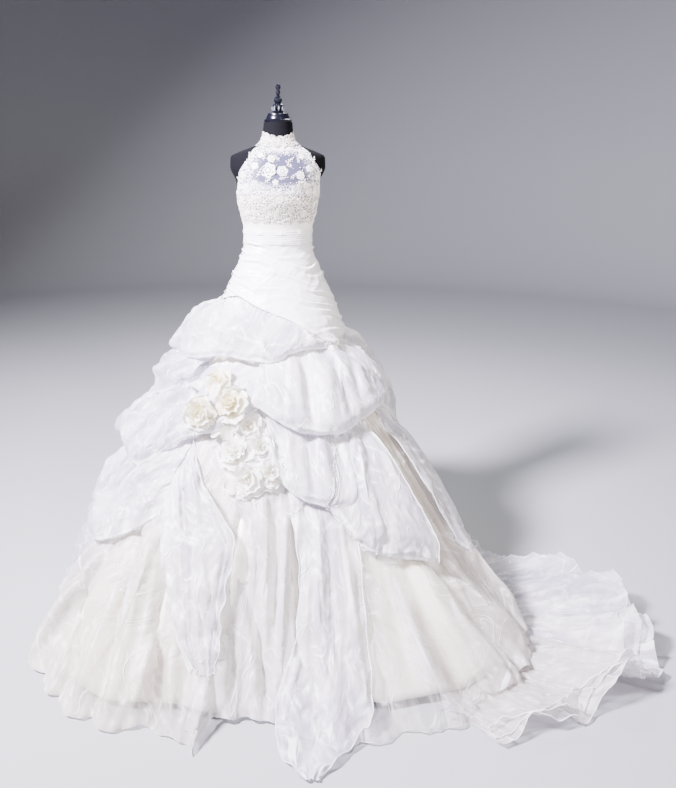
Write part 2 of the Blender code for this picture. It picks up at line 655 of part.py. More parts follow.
def collar_and_band(materials):
    """Closed rings: the pleated waistband and the standing lace collar."""
    across = np.linspace(0, 2 * np.pi, 28, endpoint=False)
    heights = np.array([1.1925, 1.178, 1.1635, 1.149])
    angle, height = np.meshgrid(across, heights)
    ridge = 0.0012 * (np.arange(len(heights)) % 2)[:, None]
    radius = gown_radius(angle, height) - 0.01 + ridge
    band = settle(on_body(angle, radius, height), pile, ring=True, ease=0.0004)
    make_cloth("waistband", band, materials["satin"], ring=True)

    across = np.linspace(0, 2 * np.pi, 28, endpoint=False)
    tips = 1.496 + 0.016 * np.sin(across) ** 2 + 0.004 * np.cos(7 * across)
    down = np.linspace(0, 1, 4)[:, None]
    height = tips * (1 - down) + 1.462 * down
    angle = np.tile(across, (4, 1))
    radius = gown_radius(angle, height) - 0.012 + 0.004 * (1 - down)
    collar = settle(on_body(angle, radius, height), pile, ring=True, ease=0.0)
    make_cloth("stand_collar", collar, materials["beaded_lace"], ring=True)


def train_grid(columns, rows, reach, height, ripple):
    """A flounce that lies on the floor round the right side and the back."""
    angles, outers, lifts = np.array(TRAIN, float).T
    angle = np.radians(np.linspace(angles[0], angles[-1], columns + 1))
    outer = smooth(np.degrees(angle), angles, outers)
    lift = smooth(np.degrees(angle), angles, lifts)
    hem = gown_radius(angle, np.full(columns + 1, 0.02))
    across, down = across_down(rows, columns)
    turn = 2 * np.pi * across
    ragged = 1 + ripple * np.sin(11 * turn[0] + 2.5 * np.sin(1.4 * turn[0]))
    outer = hem + (outer - hem) * reach * ragged
    radius = hem + 0.01 + (outer - hem - 0.01) * down
    wave = 0.5 + 0.5 * np.cos(11 * turn + 3.0 * np.sin(1.3 * turn) + 2.2 * down)
    rise = lift * down**1.3 * (0.15 + 0.85 * wave)
    free = np.clip((radius - hem - 0.12) / 0.04, 0, 1)
    return on_body(np.tile(angle, (rows + 1, 1)), radius, height + rise * free + 0.003 * wave)


def make_train(materials):
    under = train_grid(44, 3, 1.0, 0.004, 0.06)
    way = under[0] * [1, 1, 0]
    way /= np.linalg.norm(way, axis=1, keepdims=True)
    seam = lining_alone.outermost(way + [0, 0, 0.0185], False)
    under[0] = way * (seam + 0.0015)[:, None] + [0, 0, 0.0185]
    for _ in range(60):
        solid, cells = thicken(under, CLOTH + SEAM, False)
        tree = BVHTree.FromPolygons([Vector(p) for p in solid], cells, all_triangles=True)
        if not tree.overlap(lining_alone.tree):
            break
        under[0] += way * 0.0004
    points, faces = thicken(under, CLOTH, False)
    make_object("train_under", points, faces, materials["organza"])
    on_floor = Laid()
    on_floor.add(points, faces)
    top = train_grid(44, 3, 0.86, 0.006, 0.10)
    top[0] = under[0] + way * 0.001 + [0, 0, 0.0032]
    top = settle(top, on_floor, upward=True, ease=0.001)
    points, faces = thicken(top, CLOTH, False)
    make_object("train_top", points, faces, materials["organza"])


def make_flower(number, angle, height, radius, petals, material):
    """A low blossom of overlapping petals, set against the cloth behind it."""
    turn = np.linspace(0, 2 * np.pi, 14, endpoint=False)
    scallop = 1 + 0.10 * np.cos(petals * turn) + 0.04 * np.cos(2 * turn + number)
    rings = (
        # share of the radius, height over the cloth
        (0.80, 0.000), (1.00, 0.007), (0.72, 0.017), (0.42, 0.019), (0.20, 0.026),
    )
    facing = Vector((math.sin(angle), -math.cos(angle), 0.28)).normalized()
    side = Vector((math.cos(angle), math.sin(angle), 0))
    up = facing.cross(side)
    surface = pile.outermost([(math.sin(angle), -math.cos(angle), height)], False)[0]
    centre = Vector((surface * math.sin(angle), -surface * math.cos(angle), height))
    rows = []
    for share, rise in rings:
        size = radius * share * (scallop if share > 0.3 else 1.0)
        rows.append(
            [
                centre + side * (s * math.cos(t)) + up * (s * math.sin(t)) + facing * rise
                for s, t in zip(np.broadcast_to(size, turn.shape), turn)
            ]
        )
    points, faces = capped_rings([[tuple(p) for p in row] for row in rows])
    points = np.array(points)
    way = np.array(facing)
    for _ in range(200):
        grown = points + way * (-0.0004)
        tree = BVHTree.FromPolygons([Vector(p) for p in grown], faces, all_triangles=True)
        if not tree.overlap(pile.tree):
            break
        points = points + way * 0.0006
    name = f"flower_{number + 1}"
    make_object(name, points, faces, material)
    pile.add(points, faces)


def make_dome(name, angle, height, radius, material, tall=0.5):
    """A small button or bead cluster that touches the cloth behind it."""
    surface = pile.outermost([(math.sin(angle), -math.cos(angle), height)], False)[0]
    facing = Vector((math.sin(angle), -math.cos(angle), 0))
    side = Vector((math.cos(angle), math.sin(angle), 0))
    up = Vector((0, 0, 1))
    centre = facing * surface + up * height
    turn = np.linspace(0, 2 * np.pi, 8, endpoint=False)
    rows = []
    for share, rise in ((0.90, 0.0), (1.0, 0.25 * tall), (0.6, 0.85 * tall), (0.2, tall)):
        rows.append(
            [
                centre
                + side * (radius * share * math.cos(t))
                + up * (radius * share * math.sin(t))
                + facing * (radius * rise)
                for t in turn
            ]
        )
    points, faces = capped_rings([[tuple(p) for p in row] for row in rows])
    points = np.array(points)
    for _ in range(120):
        grown = points - np.array(facing) * 0.0004
        tree = BVHTree.FromPolygons([Vector(p) for p in grown], faces, all_triangles=True)
        if not tree.overlap(pile.tree):
            break
        points = points + np.array(facing) * 0.0003
    make_object(name, points, faces, material)
    pile.add(points, faces)


def make_form(materials):
    """The dress form: jersey torso, turned neck cap, finial, pole and round base."""
    angle = np.linspace(0, 2 * np.pi, 20, endpoint=False)
    heights = np.array([row[0] for row in TORSO])
    rings = [
        on_body(angle, section_radius(TORSO, angle, np.full(20, h)), np.full(20, h))
        for h in heights
    ]
    points, faces = capped_rings(rings)
    make_object("form_torso", points, faces, materials["black_jersey"])
    pile.add(points, faces)
    make_turned("neck_cap", NECK_CAP, 20, materials["black_lacquer"])
    make_turned("finial", FINIAL, 12, materials["crystal_metal"])
    pole = ((0.0563, POLE_RADIUS), (TORSO_FOOT - 0.0003, POLE_RADIUS))
    make_turned("stand_pole", pole, 16, materials["black_lacquer"])
    make_turned("stand_base", BASE, 32, materials["black_lacquer"])


clear_scene()
dress = bpy.data.collections.new("wedding_dress")
bpy.context.scene.collection.children.link(dress)
mats = make_materials()
pile = Laid()
make_form(mats)

# folds: count, depth, grow, lean, start
satin, organza = mats["satin"], mats["organza"]
drape("lining_front", LINING_FRONT, 26, 5, satin, (7, 0.016, 1.2, 0.0, 0.1))
drape("lining_back", LINING_BACK, 20, 5, satin, (6, 0.016, 1.2, 0.0, 0.4))
lining_alone = Laid()
lining_alone.add(pile.points, pile.faces)
drape("overlay_left", OVERLAY_LEFT, 26, 5, organza, (6.5, 0.018, 1.1, 0.1, 0.2))
drape("overlay_front", OVERLAY_FRONT, 14, 6, organza, (3, 0.012, 1.1, 0.0, 0.6))
drape("overlay_right", OVERLAY_RIGHT, 24, 5, organza, (6, 0.018, 1.1, -0.2, 0.3))
drape("overlay_back", OVERLAY_BACK, 26, 5, organza, (7, 0.020, 1.1, 0.1, 0.7))
panel("front_cascade", FRONT_CASCADE, 8, 11, organza, (2.0, 0.010, 0.8, 0.2, 0.1))
panel("left_cascade", LEFT_CASCADE, 7, 9, organza, (1.6, 0.012, 0.7, 0.2, 0.5))
drape("left_low_pouf", LEFT_LOW_POUF, 15, 6, organza, (3.2, 0.012, 0.7, 0.3, 0.2))
drape("centre_pouch", CENTRE_POUCH, 10, 7, organza, (1.5, 0.006, 0.8, 0.1, 0.3))
drape("right_back_drape", RIGHT_BACK_DRAPE, 14, 7, organza, (3.0, 0.012, 0.8, 0.2, 0.6))
drape("right_drape", RIGHT_DRAPE, 14, 8, organza, (2.6, 0.010, 0.8, 0.5, 0.2))
drape("back_bustle_lower", BACK_BUSTLE_LOWER, 18, 6, organza, (4.5, 0.014, 0.8, 0.2, 0.1))
drape("left_swag_lower", LEFT_SWAG_LOWER, 18, 6, organza, (3.4, 0.010, 0.8, 0.6, 0.7))
drape("back_bustle_upper", BACK_BUSTLE_UPPER, 20, 6, organza, (5.0, 0.014, 0.8, -0.2, 0.3))
drape("left_swag_upper", LEFT_SWAG_UPPER, 12, 6, organza, (2.6, 0.010, 0.8, 0.4, 0.2))
drape("right_pouf", RIGHT_POUF, 20, 6, organza, (5.0, 0.010, 0.7, 0.1, 0.5))
drape("hip_swag", HIP_SWAG, 24, 5, organza, (5.0, 0.008, 0.8, 0.5, 0.1))
drape("bodice_front", BODICE_FRONT, 18, 4, mats["beaded_lace"], (1, 0.0), ease=0.0)
drape("bodice_back", BODICE_BACK, 12, 3, mats["beaded_lace"], (1, 0.0), ease=0.0)
drape("hip_front", HIP_FRONT, 16, 12, satin, (1.6, 0.0025, 0.3, 5.5, 0.2), ease=0.0)
drape("hip_back", HIP_BACK, 12, 8, satin, (1.2, 0.0025, 0.3, 4.0, 0.5), ease=0.0)
panel("halter_yoke", HALTER_YOKE, 14, 6, mats["beaded_lace"], (1, 0.0), ease=0.0)
collar_and_band(mats)
make_train(mats)
for index, (turn_deg, z, size, petal_count) in enumerate(FLOWERS):
    make_flower(index, math.radians(turn_deg), z, size, petal_count, mats["silk_petal"])
make_dome("hip_sprig", math.radians(44), 0.842, 0.022, mats["beaded_lace"], 0.4)
for index, (turn_deg, z, size) in enumerate(BUTTONS):
    make_dome(f"button_{index + 1}", math.radians(turn_deg), z, size, mats["covered_button"], 0.8)
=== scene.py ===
import math
import random

import bpy
import numpy as np
from mathutils import Matrix, Vector


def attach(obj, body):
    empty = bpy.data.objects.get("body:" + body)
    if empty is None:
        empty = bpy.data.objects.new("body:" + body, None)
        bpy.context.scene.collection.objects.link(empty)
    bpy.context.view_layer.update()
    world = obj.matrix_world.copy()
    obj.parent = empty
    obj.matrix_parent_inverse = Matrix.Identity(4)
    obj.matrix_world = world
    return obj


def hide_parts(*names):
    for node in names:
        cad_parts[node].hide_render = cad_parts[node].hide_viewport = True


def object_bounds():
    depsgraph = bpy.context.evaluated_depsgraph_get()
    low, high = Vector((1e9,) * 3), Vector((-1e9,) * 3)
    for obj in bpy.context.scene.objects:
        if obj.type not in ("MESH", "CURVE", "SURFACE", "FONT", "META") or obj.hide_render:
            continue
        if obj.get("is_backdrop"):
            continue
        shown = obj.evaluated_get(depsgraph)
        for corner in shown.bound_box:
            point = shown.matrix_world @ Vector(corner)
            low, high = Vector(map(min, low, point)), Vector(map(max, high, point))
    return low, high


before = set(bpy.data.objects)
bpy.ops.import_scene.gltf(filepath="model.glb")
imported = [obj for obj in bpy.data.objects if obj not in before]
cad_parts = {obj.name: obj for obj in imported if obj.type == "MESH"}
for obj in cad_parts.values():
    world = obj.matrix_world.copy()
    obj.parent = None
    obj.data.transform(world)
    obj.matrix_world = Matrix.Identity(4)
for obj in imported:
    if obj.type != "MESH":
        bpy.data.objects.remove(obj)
cadBox = [list(corner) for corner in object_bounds()]
mm = 0.001
print("frame loaded")


def linked(name, data):
    thing = bpy.data.objects.new(name, data)
    bpy.context.scene.collection.objects.link(thing)
    return thing


# camera
# It stands a little to the wearer's right of the middle, looks down slightly and is shifted,
# so that the body stays upright while the train still fits.
cameraSetup = {
    "place": (-0.3047, -2.4814, 1.45), "turn": math.radians(7.0), "tilt": math.radians(6.0),
    "lens": 34.45, "sensor": 36, "shift": (0.0761, -0.2074),
}


def placeCamera():
    turn, tilt = cameraSetup["turn"], cameraSetup["tilt"]
    right = Vector((math.cos(turn), -math.sin(turn), 0))
    level = Vector((math.sin(turn), math.cos(turn), 0))
    ahead = level * math.cos(tilt) + Vector((0, 0, -math.sin(tilt)))
    up = right.cross(ahead)
    data = bpy.data.cameras.new("camera")
    data.lens = cameraSetup["lens"]
    data.sensor_width = cameraSetup["sensor"]
    data.shift_x, data.shift_y = cameraSetup["shift"]
    camera = linked("camera", data)
    matrix = Matrix((right, up, -ahead)).transposed().to_4x4()
    matrix.translation = Vector(cameraSetup["place"])
    camera.matrix_world = matrix
    bpy.context.scene.camera = camera


placeCamera()

# materials


def colour(hexCode):
    # sRGB hex to linear
    parts = [int(hexCode[k:k + 2], 16) / 255 for k in (1, 3, 5)]
    return tuple(p / 12.92 if p <= 0.04045 else ((p + 0.055) / 1.055) ** 2.4 for p in parts) + (1.0,)


def addNode(tree, kind, inputs=None, out=0, **settings):
    # gives back the output that is used of the node; a short kind is a shader node
    node = tree.nodes.new(kind if "Node" in kind else "ShaderNode" + kind)
    for name, value in settings.items():
        setattr(node, name, value)
    for name, value in (inputs or {}).items():
        if isinstance(value, bpy.types.NodeSocket):
            tree.links.new(value, node.inputs[name])
        else:
            node.inputs[name].default_value = value
    return node.outputs[out] if len(node.outputs) else None


def emptyMaterial(name):
    material = bpy.data.materials.new(name)
    material.use_nodes = True
    material.node_tree.nodes.clear()
    return material, material.node_tree


# Silk organza: plain woven of stiff fine yarn. Crisp creases catch the light, and where the
# cloth folds on itself it turns from sheer to white.
# Crease lines are painted white: a painted highlight along them, partly the denser cloth where it folds.
organza = {
    "ground": "#c8c5d3",
    "doubled": "#e6e3ec",     # where a fold lies double it looks denser and whiter
    "doubledRun": (0.075, 0.40),
    # painted highlight on the crease lines, partly the whiter cloth where it lies double at the fold
    "highlitDenseCrease": "#ffffff",
    "ivoryTint": "#dacfc0",      # ivory tint: over the ivory satin on the overlays, and towards the right front of the train
    "ivoryStrength": 0.85,
    "roughness": 0.40,
    "sheen": 0.30,
    "through": 0.14,          # share of the light that passes to the other side
    "slub": 2.2 * mm,         # real yarns are 0.1 mm apart, drawn as coarse as shows
    "slubLength": 30,         # in widths
    "creaseRuns": (
        # turn, size across and along in metres, strength
        (8, 0.090, 0.300, 0.95), (-36, 0.075, 0.210, 0.7), (50, 0.115, 0.260, 0.5),
    ),
    "creaseWidth": 0.010,
    "creaseRise": 3.0 * mm,
    "patchScale": 11.0,
}


def makeOrganza(name, look):
    material, tree = emptyMaterial(name)
    uv = addNode(tree, "UVMap", uv_map="cloth")
    crease, cover, warm = [
        addNode(tree, "Attribute", None, "Fac", attribute_name=key) for key in ("crease", "cover", "warm")
    ]
    fine, long = 1 / look["slub"], 1 / (look["slubLength"] * look["slub"])
    yarns = {}
    for k, scale in enumerate(((fine, long, 1), (long, fine, 1))):
        stretched = addNode(tree, "Mapping", {"Vector": uv, "Scale": scale})
        yarns[k] = addNode(tree, "TexNoise", {"Vector": stretched, "Scale": 1.0})
    slub = addNode(tree, "Math", yarns)
    fineLine = None
    # fine crease lines from noise: bumped, and painted white as highlights
    for turn, across, along, share in look["creaseRuns"]:
        laid = addNode(tree, "Mapping", {
            "Vector": uv, "Rotation": (0, 0, math.radians(turn)), "Scale": (1 / across, 1 / along, 1),
        })
        field = addNode(tree, "TexNoise", {"Vector": laid, "Scale": 1.0, "Detail": 1.0})
        middle = addNode(tree, "Math", {0: field, 1: 0.5}, operation="SUBTRACT")
        away = addNode(tree, "Math", {0: middle, 1: 0.0}, operation="ABSOLUTE")
        line = addNode(tree, "MapRange", {
            "Value": away, "From Min": 0.002, "From Max": look["creaseWidth"], "To Min": share, "To Max": 0.0,
        })
        fineLine = addNode(tree, "Math", {0: fineLine, 1: line}, operation="MAXIMUM") if fineLine else line
    patches = addNode(tree, "TexNoise", {"Vector": uv, "Scale": look["patchScale"], "Detail": 1.0})
    where = addNode(tree, "MapRange", {"Value": patches, "From Min": 0.42, "From Max": 0.62, "To Min": 0.10})
    fineLine = addNode(tree, "Math", {0: fineLine, 1: where}, operation="MULTIPLY")
    lines = addNode(tree, "Math", {0: crease, 1: fineLine}, operation="MAXIMUM")
    across, along = look["doubledRun"]
    laid = addNode(tree, "Mapping", {"Vector": uv, "Scale": (1 / across, 1 / along, 1)})
    bands = addNode(tree, "TexNoise", {"Vector": laid, "Scale": 1.0, "Detail": 1.0, "Distortion": 0.4})
    inputs = {"Value": bands, "From Min": 0.43, "From Max": 0.56}
    double = addNode(tree, "MapRange", inputs, interpolation_type="SMOOTHSTEP")
    ivoryTint = addNode(tree, "Math", {0: warm, 1: look["ivoryStrength"]}, operation="MULTIPLY")
    shade = colour(look["ground"])
    # the ground, the doubled bands, the ivory tint, then the crease lines painted white: a painted highlight,
    # partly the denser cloth at the fold
    for share, tint in ((double, "doubled"), (ivoryTint, "ivoryTint"), (lines, "highlitDenseCrease")):
        inputs = {"Factor": share, "A": shade, "B": colour(look[tint])}
        shade = addNode(tree, "Mix", inputs, "Result", data_type="RGBA")
    low = addNode(tree, "Bump", {"Height": fineLine, "Strength": 0.8, "Distance": look["creaseRise"]})
    yarn = addNode(tree, "Bump", {"Height": slub, "Strength": 0.10, "Distance": 0.3 * mm, "Normal": low})
    face = addNode(tree, "BsdfPrincipled", {
        "Base Color": shade, "Roughness": look["roughness"], "IOR": 1.5, "Sheen Weight": look["sheen"],
        "Sheen Roughness": 0.4, "Normal": yarn,
    })
    glow = addNode(tree, "BsdfTranslucent", {"Color": shade, "Normal": yarn})
    cloth = addNode(tree, "MixShader", {0: look["through"], 1: face, 2: glow})
    speckle = addNode(tree, "MapRange", {
        "Value": slub, "From Min": 0.7, "From Max": 1.3, "To Min": -0.07, "To Max": 0.07,
    })
    solid = addNode(tree, "Math", {0: cover, 1: speckle})
    bright = addNode(tree, "Math", {0: lines, 1: 0.45}, operation="MULTIPLY")
    opacity = addNode(tree, "Clamp", {"Value": addNode(tree, "Math", {0: solid, 1: bright})})
    seen = addNode(tree, "MixShader", {0: opacity, 1: addNode(tree, "BsdfTransparent"), 2: cloth})
    addNode(tree, "OutputMaterial", {"Surface": seen})
    return material


# Duchess satin: close woven, heavy and smooth, so it shades softly and shines a little along
# its folds.
duchessSatin = {
    "colour": "#ece7da",
    "roughness": 0.34,
    "sheen": 0.15,
    "ribs": 1.6 * mm,         # real floats are 0.2 mm, drawn coarser
}


def makeSatin(name, look):
    material, tree = emptyMaterial(name)
    uv, fine, even = addNode(tree, "UVMap", uv_map="cloth"), 1 / look["ribs"], look["roughness"]
    laid = addNode(tree, "Mapping", {"Vector": uv, "Scale": (fine, 0.05 * fine, 1)})
    floats = addNode(tree, "TexNoise", {"Vector": laid, "Scale": 1.0})
    cloudy = addNode(tree, "TexNoise", {"Vector": uv, "Scale": 7.0, "Detail": 3.0})
    tone = addNode(tree, "MapRange", {
        "Value": cloudy, "From Min": 0.3, "From Max": 0.7, "To Min": even - 0.05, "To Max": even + 0.08,
    })
    face = addNode(tree, "BsdfPrincipled", {
        "Base Color": colour(look["colour"]), "Roughness": tone, "IOR": 1.5, "Sheen Weight": look["sheen"],
        "Coat Weight": 0.12, "Coat Roughness": 0.3,
        "Normal": addNode(tree, "Bump", {"Height": floats, "Strength": 0.12, "Distance": 0.2 * mm}),
    })
    addNode(tree, "OutputMaterial", {"Surface": face})
    return material


def makePlain(name, tint, roughness, metallic=0.0, coat=0.0, grain=None, shine=0.5):
    # one even finish with a fine grain: size and rise in metres.
    material, tree = emptyMaterial(name)
    inputs = {
        "Base Color": colour(tint), "Roughness": roughness, "Metallic": metallic, "Coat Weight": coat,
        "Specular IOR Level": shine,
    }
    if grain:
        place = addNode(tree, "TexCoord", None, "Object")
        rough = addNode(tree, "TexNoise", {"Vector": place, "Scale": 1 / grain[0], "Detail": 3.0})
        inputs["Normal"] = addNode(tree, "Bump", {"Height": rough, "Strength": 0.5, "Distance": grain[1]})
    addNode(tree, "OutputMaterial", {"Surface": addNode(tree, "BsdfPrincipled", inputs)})
    return material


organzaCloth = makeOrganza("silkOrganza", organza)
satinCloth = makeSatin("duchessSatin", duchessSatin)
whiteSatin = makeSatin("whiteDuchessSatin", {**duchessSatin, "colour": "#f0eef1"})
blackJersey = makePlain("cottonJersey", "#06060b", 0.9, grain=(1.5 * mm, 0.3 * mm), shine=0.12)
blackLacquer = makePlain("blackLacquer", "#0d0d12", 0.28, coat=0.5, grain=(4 * mm, 0.05 * mm))
print("materials ready")

# the plain gown
dropWaist = 0.83              # height where the skirt starts to flare
bodyFoot = 0.86               # below this only the stand's pole is inside the cloth
poleRadius = 0.03             # the pole, with room round it
gownSections = (
    # height, half width, front depth, back depth
    (0.83, 0.235, 0.225, 0.23), (0.9, 0.208, 0.19, 0.2), (0.95, 0.19, 0.16, 0.17), (1.0, 0.168, 0.135, 0.14),
    (1.05, 0.146, 0.114, 0.115), (1.1, 0.126, 0.098, 0.092), (1.15, 0.1165, 0.09, 0.077),
    (1.19, 0.1165, 0.09, 0.076), (1.25, 0.13, 0.106, 0.08), (1.3, 0.139, 0.122, 0.084),
    (1.35, 0.14, 0.122, 0.087), (1.41, 0.15, 0.1, 0.088), (1.44, 0.14, 0.086, 0.082),
    (1.465, 0.08, 0.066, 0.062), (1.48, 0.062, 0.058, 0.056), (1.5, 0.058, 0.055, 0.053),
    (1.53, 0.057, 0.054, 0.052),
)

hemCircle = (
    # angle round the body, how far the plain skirt stands out at the floor
    (-180, 0.7), (-135, 0.68), (-100, 0.69), (-80, 0.7), (-58, 0.83), (-42, 0.825), (-30, 0.765), (-20, 0.74),
    (0, 0.69), (20, 0.76), (30, 0.8), (44, 0.83), (56, 0.79), (70, 0.71), (82, 0.665), (95, 0.65),
    (135, 0.66), (180, 0.7),
)


def smoothCurve(at, places, values):
    # monotone cubic through a table's rows
    places, values = np.asarray(places, float), np.asarray(values, float)
    at = np.clip(np.asarray(at, float), places[0], places[-1])
    step = np.diff(places)
    slope = np.diff(values) / step
    tangent = np.empty_like(values)
    tangent[0], tangent[-1] = slope[0], slope[-1]
    sameWay = slope[:-1] * slope[1:] > 0
    total = np.where(sameWay, slope[:-1] + slope[1:], 1.0)
    tangent[1:-1] = np.where(sameWay, 2 * slope[:-1] * slope[1:] / total, 0.0)
    cell = np.clip(np.searchsorted(places, at, side="right") - 1, 0, len(step) - 1)
    width = step[cell]
    t = (at - places[cell]) / width
    return (
        values[cell] * (1 + 2 * t) * (1 - t) ** 2
        + values[cell + 1] * t * t * (3 - 2 * t)
        + width * t * (1 - t) * (tangent[cell] * (1 - t) - tangent[cell + 1] * t)
    )


def sectionRadius(table, angle, height):
    heights, wide, front, back = np.array(table).T
    wide, front, back = (smoothCurve(height, heights, half) for half in (wide, front, back))
    return 1 / np.hypot(np.sin(angle) / wide, np.cos(angle) / np.where(np.cos(angle) > 0, front, back))


def gownRadius(angle, height):
    radius = sectionRadius(gownSections, angle, np.maximum(height, dropWaist))
    angles, radii = np.array(hemCircle).T
    turned = (np.degrees(angle) + 180) % 360 - 180
    flare = np.clip((dropWaist - height) / dropWaist, 0, 1)
    return radius + (smoothCurve(turned, angles, radii) - radius) * flare


def onBody(angle, radius, height):
    angle, radius, height = np.broadcast_arrays(angle, radius, height)
    return np.stack([radius * np.sin(angle), -radius * np.cos(angle), height], axis=-1)


def polar(points):
    return np.arctan2(points[..., 0], -points[..., 1]), np.hypot(points[..., 0], points[..., 1])


class HeightMap:
    # how far the cloth laid so far reaches, so that the next layer can rest on it
    def __init__(self, lowU, highU, stepU, lowV, highV, stepV, around):
        self.low, self.step, self.around = (lowU, lowV), (stepU, stepV), around
        countU = round((highU - lowU) / stepU) + (0 if around else 1)
        self.values = np.zeros((countU, round((highV - lowV) / stepV) + 1))

    def cells(self, u, v):
        a = (u - self.low[0]) / self.step[0]
        b = np.clip((v - self.low[1]) / self.step[1], 0, self.values.shape[1] - 1.001)
        if self.around:
            return a % self.values.shape[0], b
        return np.clip(a, 0, self.values.shape[0] - 1.001), b

    def at(self, u, v):
        a, b = self.cells(u, v)
        i, j = np.floor(a).astype(int), np.floor(b).astype(int)
        s, t = a - i, b - j
        i %= self.values.shape[0]
        k = (i + 1) % self.values.shape[0]
        near = self.values[i, j] * (1 - t) + self.values[i, j + 1] * t
        far = self.values[k, j] * (1 - t) + self.values[k, j + 1] * t
        return near * (1 - s) + far * s

    def stamp(self, u, v, reach):
        a, b = self.cells(u, v)
        i = np.round(a).astype(int) % self.values.shape[0]
        np.maximum.at(self.values, (i, np.round(b).astype(int)), reach)


def finer(grid, times):
    # the grid with points added between its own
    for axis in (0, 1):
        count = grid.shape[axis]
        place = np.linspace(0, count - 1, (count - 1) * times + 1)
        low = np.minimum(place.astype(int), count - 2)
        share = (place - low).reshape([-1 if k == axis else 1 for k in range(grid.ndim)])
        grid = np.take(grid, low, axis) * (1 - share) + np.take(grid, low + 1, axis) * share
    return grid


pileStep = 0.0025
pile = HeightMap(-math.pi, math.pi, 2 * math.pi / 1600, 0.0, 1.6, pileStep, True)


def stampCloth(points):
    dense = finer(points, 3)
    angle, radius = polar(dense)
    pile.stamp(angle, dense[..., 2], radius)


def spreadOut(push, times):
    # what lies beside a push comes along a little
    for spread in range(times):
        wide = np.pad(push, 1, mode="edge")
        near = sum(wide[i:i + push.shape[0], j:j + push.shape[1]] for i in range(3) for j in range(3))
        push = np.maximum(push, near / 9)
    return push


def layOver(points, gap):
    # moves cloth outward until it clears what is beneath, with the push spread round it
    angle, radius = polar(points)
    push = spreadOut(np.clip(pile.at(angle, points[..., 2]) + gap - radius, 0, None), 8)
    return onBody(angle, radius + push, points[..., 2])


def gridNormals(points):
    across, down = np.gradient(points, axis=1), np.gradient(points, axis=0)
    normals = np.cross(down, across)
    return normals / (np.linalg.norm(normals, axis=-1, keepdims=True) + 1e-12)


def lengthsAlong(points, axis):
    step = np.linalg.norm(np.diff(points, axis=axis), axis=-1)
    return np.concatenate([np.zeros_like(np.take(step, [0], axis)), np.cumsum(step, axis=axis)], axis=axis)


def clothLengths(points):
    # distance across from the middle and down from the top at each point of the cloth
    u = lengthsAlong(points, 1)
    return u - u[:, points.shape[1] // 2][:, None], lengthsAlong(points, 0)


# folds, creases and crinkles


def pleats(across, down, count, depth, grow=1.0, lean=0.0, start=0.0, crisp=0.5):
    # uneven folds that deepen down the cloth, part soft waves and part sharp ridges
    x = across * count + lean * down + 0.3 * np.sin(6.3 * (1.7 * across + start)) + start
    soft = 0.75 * np.cos(2 * np.pi * x) + 0.25 * np.cos(np.pi * x + 1.3)
    bent = x + 0.06 * np.sin(5.0 * down + 9.0 * start)
    part = bent % 1.0
    lean = np.where(part < 0.72, part / 0.72, (1 - part) / 0.28)
    sharp = 0.85 * (2 * lean - 1) + 0.15 * np.cos(np.pi * x + 1.3)
    second = 0.45 * (1 - 2 * np.abs(np.sin(np.pi * (2.37 * x + 0.8 * down + 0.4))) ** 0.9)
    return depth * down**grow * (soft * (1 - crisp) + sharp * crisp + second * crisp)


def handCreases(points, angleHeight, creases, broad=False):
    # ridges and troughs placed one by one. A row of the table says where one starts and where it ends, as
    # angle and height, how far it bows sideways, its width and its depth, with lengths in mm.
    rise, line = np.zeros(points.shape[:2]), np.zeros(points.shape[:2])
    angle, height = angleHeight
    bends = 8
    spread = math.radians(0.5)
    for startAngle, startHeight, endAngle, endHeight, bow, width, depth in creases:
        ends = []
        for turn, level in ((startAngle, startHeight), (endAngle, endHeight)):
            away = ((angle - math.radians(turn)) / spread) ** 2 + ((height - level / 1000) / 0.004) ** 2
            ends.append(points[np.unravel_index(np.argmin(away), away.shape)])
        first, last = ends
        chord = last - first
        outward = np.array([(first + last)[0], (first + last)[1], 0.0])
        sideways = np.cross(chord, outward / (np.linalg.norm(outward) + 1e-9))
        sideways /= np.linalg.norm(sideways) + 1e-9
        middle = (first + last) / 2 + sideways * bow * mm * 2
        share = np.linspace(0, 1, bends + 1)[:, None]
        path = (1 - share) ** 2 * first + 2 * share * (1 - share) * middle + share**2 * last
        best, along = np.full(points.shape[:2], 9.0), np.zeros(points.shape[:2])
        for k in range(bends):
            step = path[k + 1] - path[k]
            t = np.clip(((points - path[k]) @ step) / (step @ step + 1e-12), 0, 1)
            away = np.linalg.norm(points - path[k] - t[..., None] * step, axis=-1)
            closer = away < best
            best = np.where(closer, away, best)
            along = np.where(closer, (k + t) / bends, along)
        taper = np.clip(np.sin(np.pi * np.clip(0.10 + 0.85 * along, 0, 1)), 0, 1) ** 0.7
        reach = 1.25 * width * mm
        if broad:
            rise += depth * mm * taper * np.exp(-((best / (width * mm)) ** 2))
            continue
        rise += 1.5 * depth * mm * taper * np.exp(-(np.hypot(best, 0.002) - 0.002) / reach)
        # ridges get a white line: a painted highlight, partly the denser cloth at the fold
        if depth > 0:
            line = np.maximum(line, taper * np.exp(-((best / 0.0050) ** 2)) * min(1.0, depth / 6))
    return rise, line


def crumple(u, v, seed, coarse):
    # crisp facets of stiff cloth that was crushed once: folded waves of falling size
    rng = np.random.default_rng(seed)
    total, size = np.zeros(u.shape), coarse
    for layer in range(5):
        turn = rng.uniform(0, math.pi)
        x = u * math.cos(turn) + v * math.sin(turn)
        y = v * math.cos(turn) - u * math.sin(turn)
        phase = x / size + 0.4 * np.sin(2 * np.pi * (y / (2.3 * size) + rng.random())) + rng.random()
        here = 0.5 + 0.5 * np.sin(2 * np.pi * (y / (5.1 * size) + x / (6.3 * size) + rng.random()))
        total += 0.045 * size * here * (np.abs(phase % 1 - 0.5) * 4 - 1)
        size *= 0.64
    return total


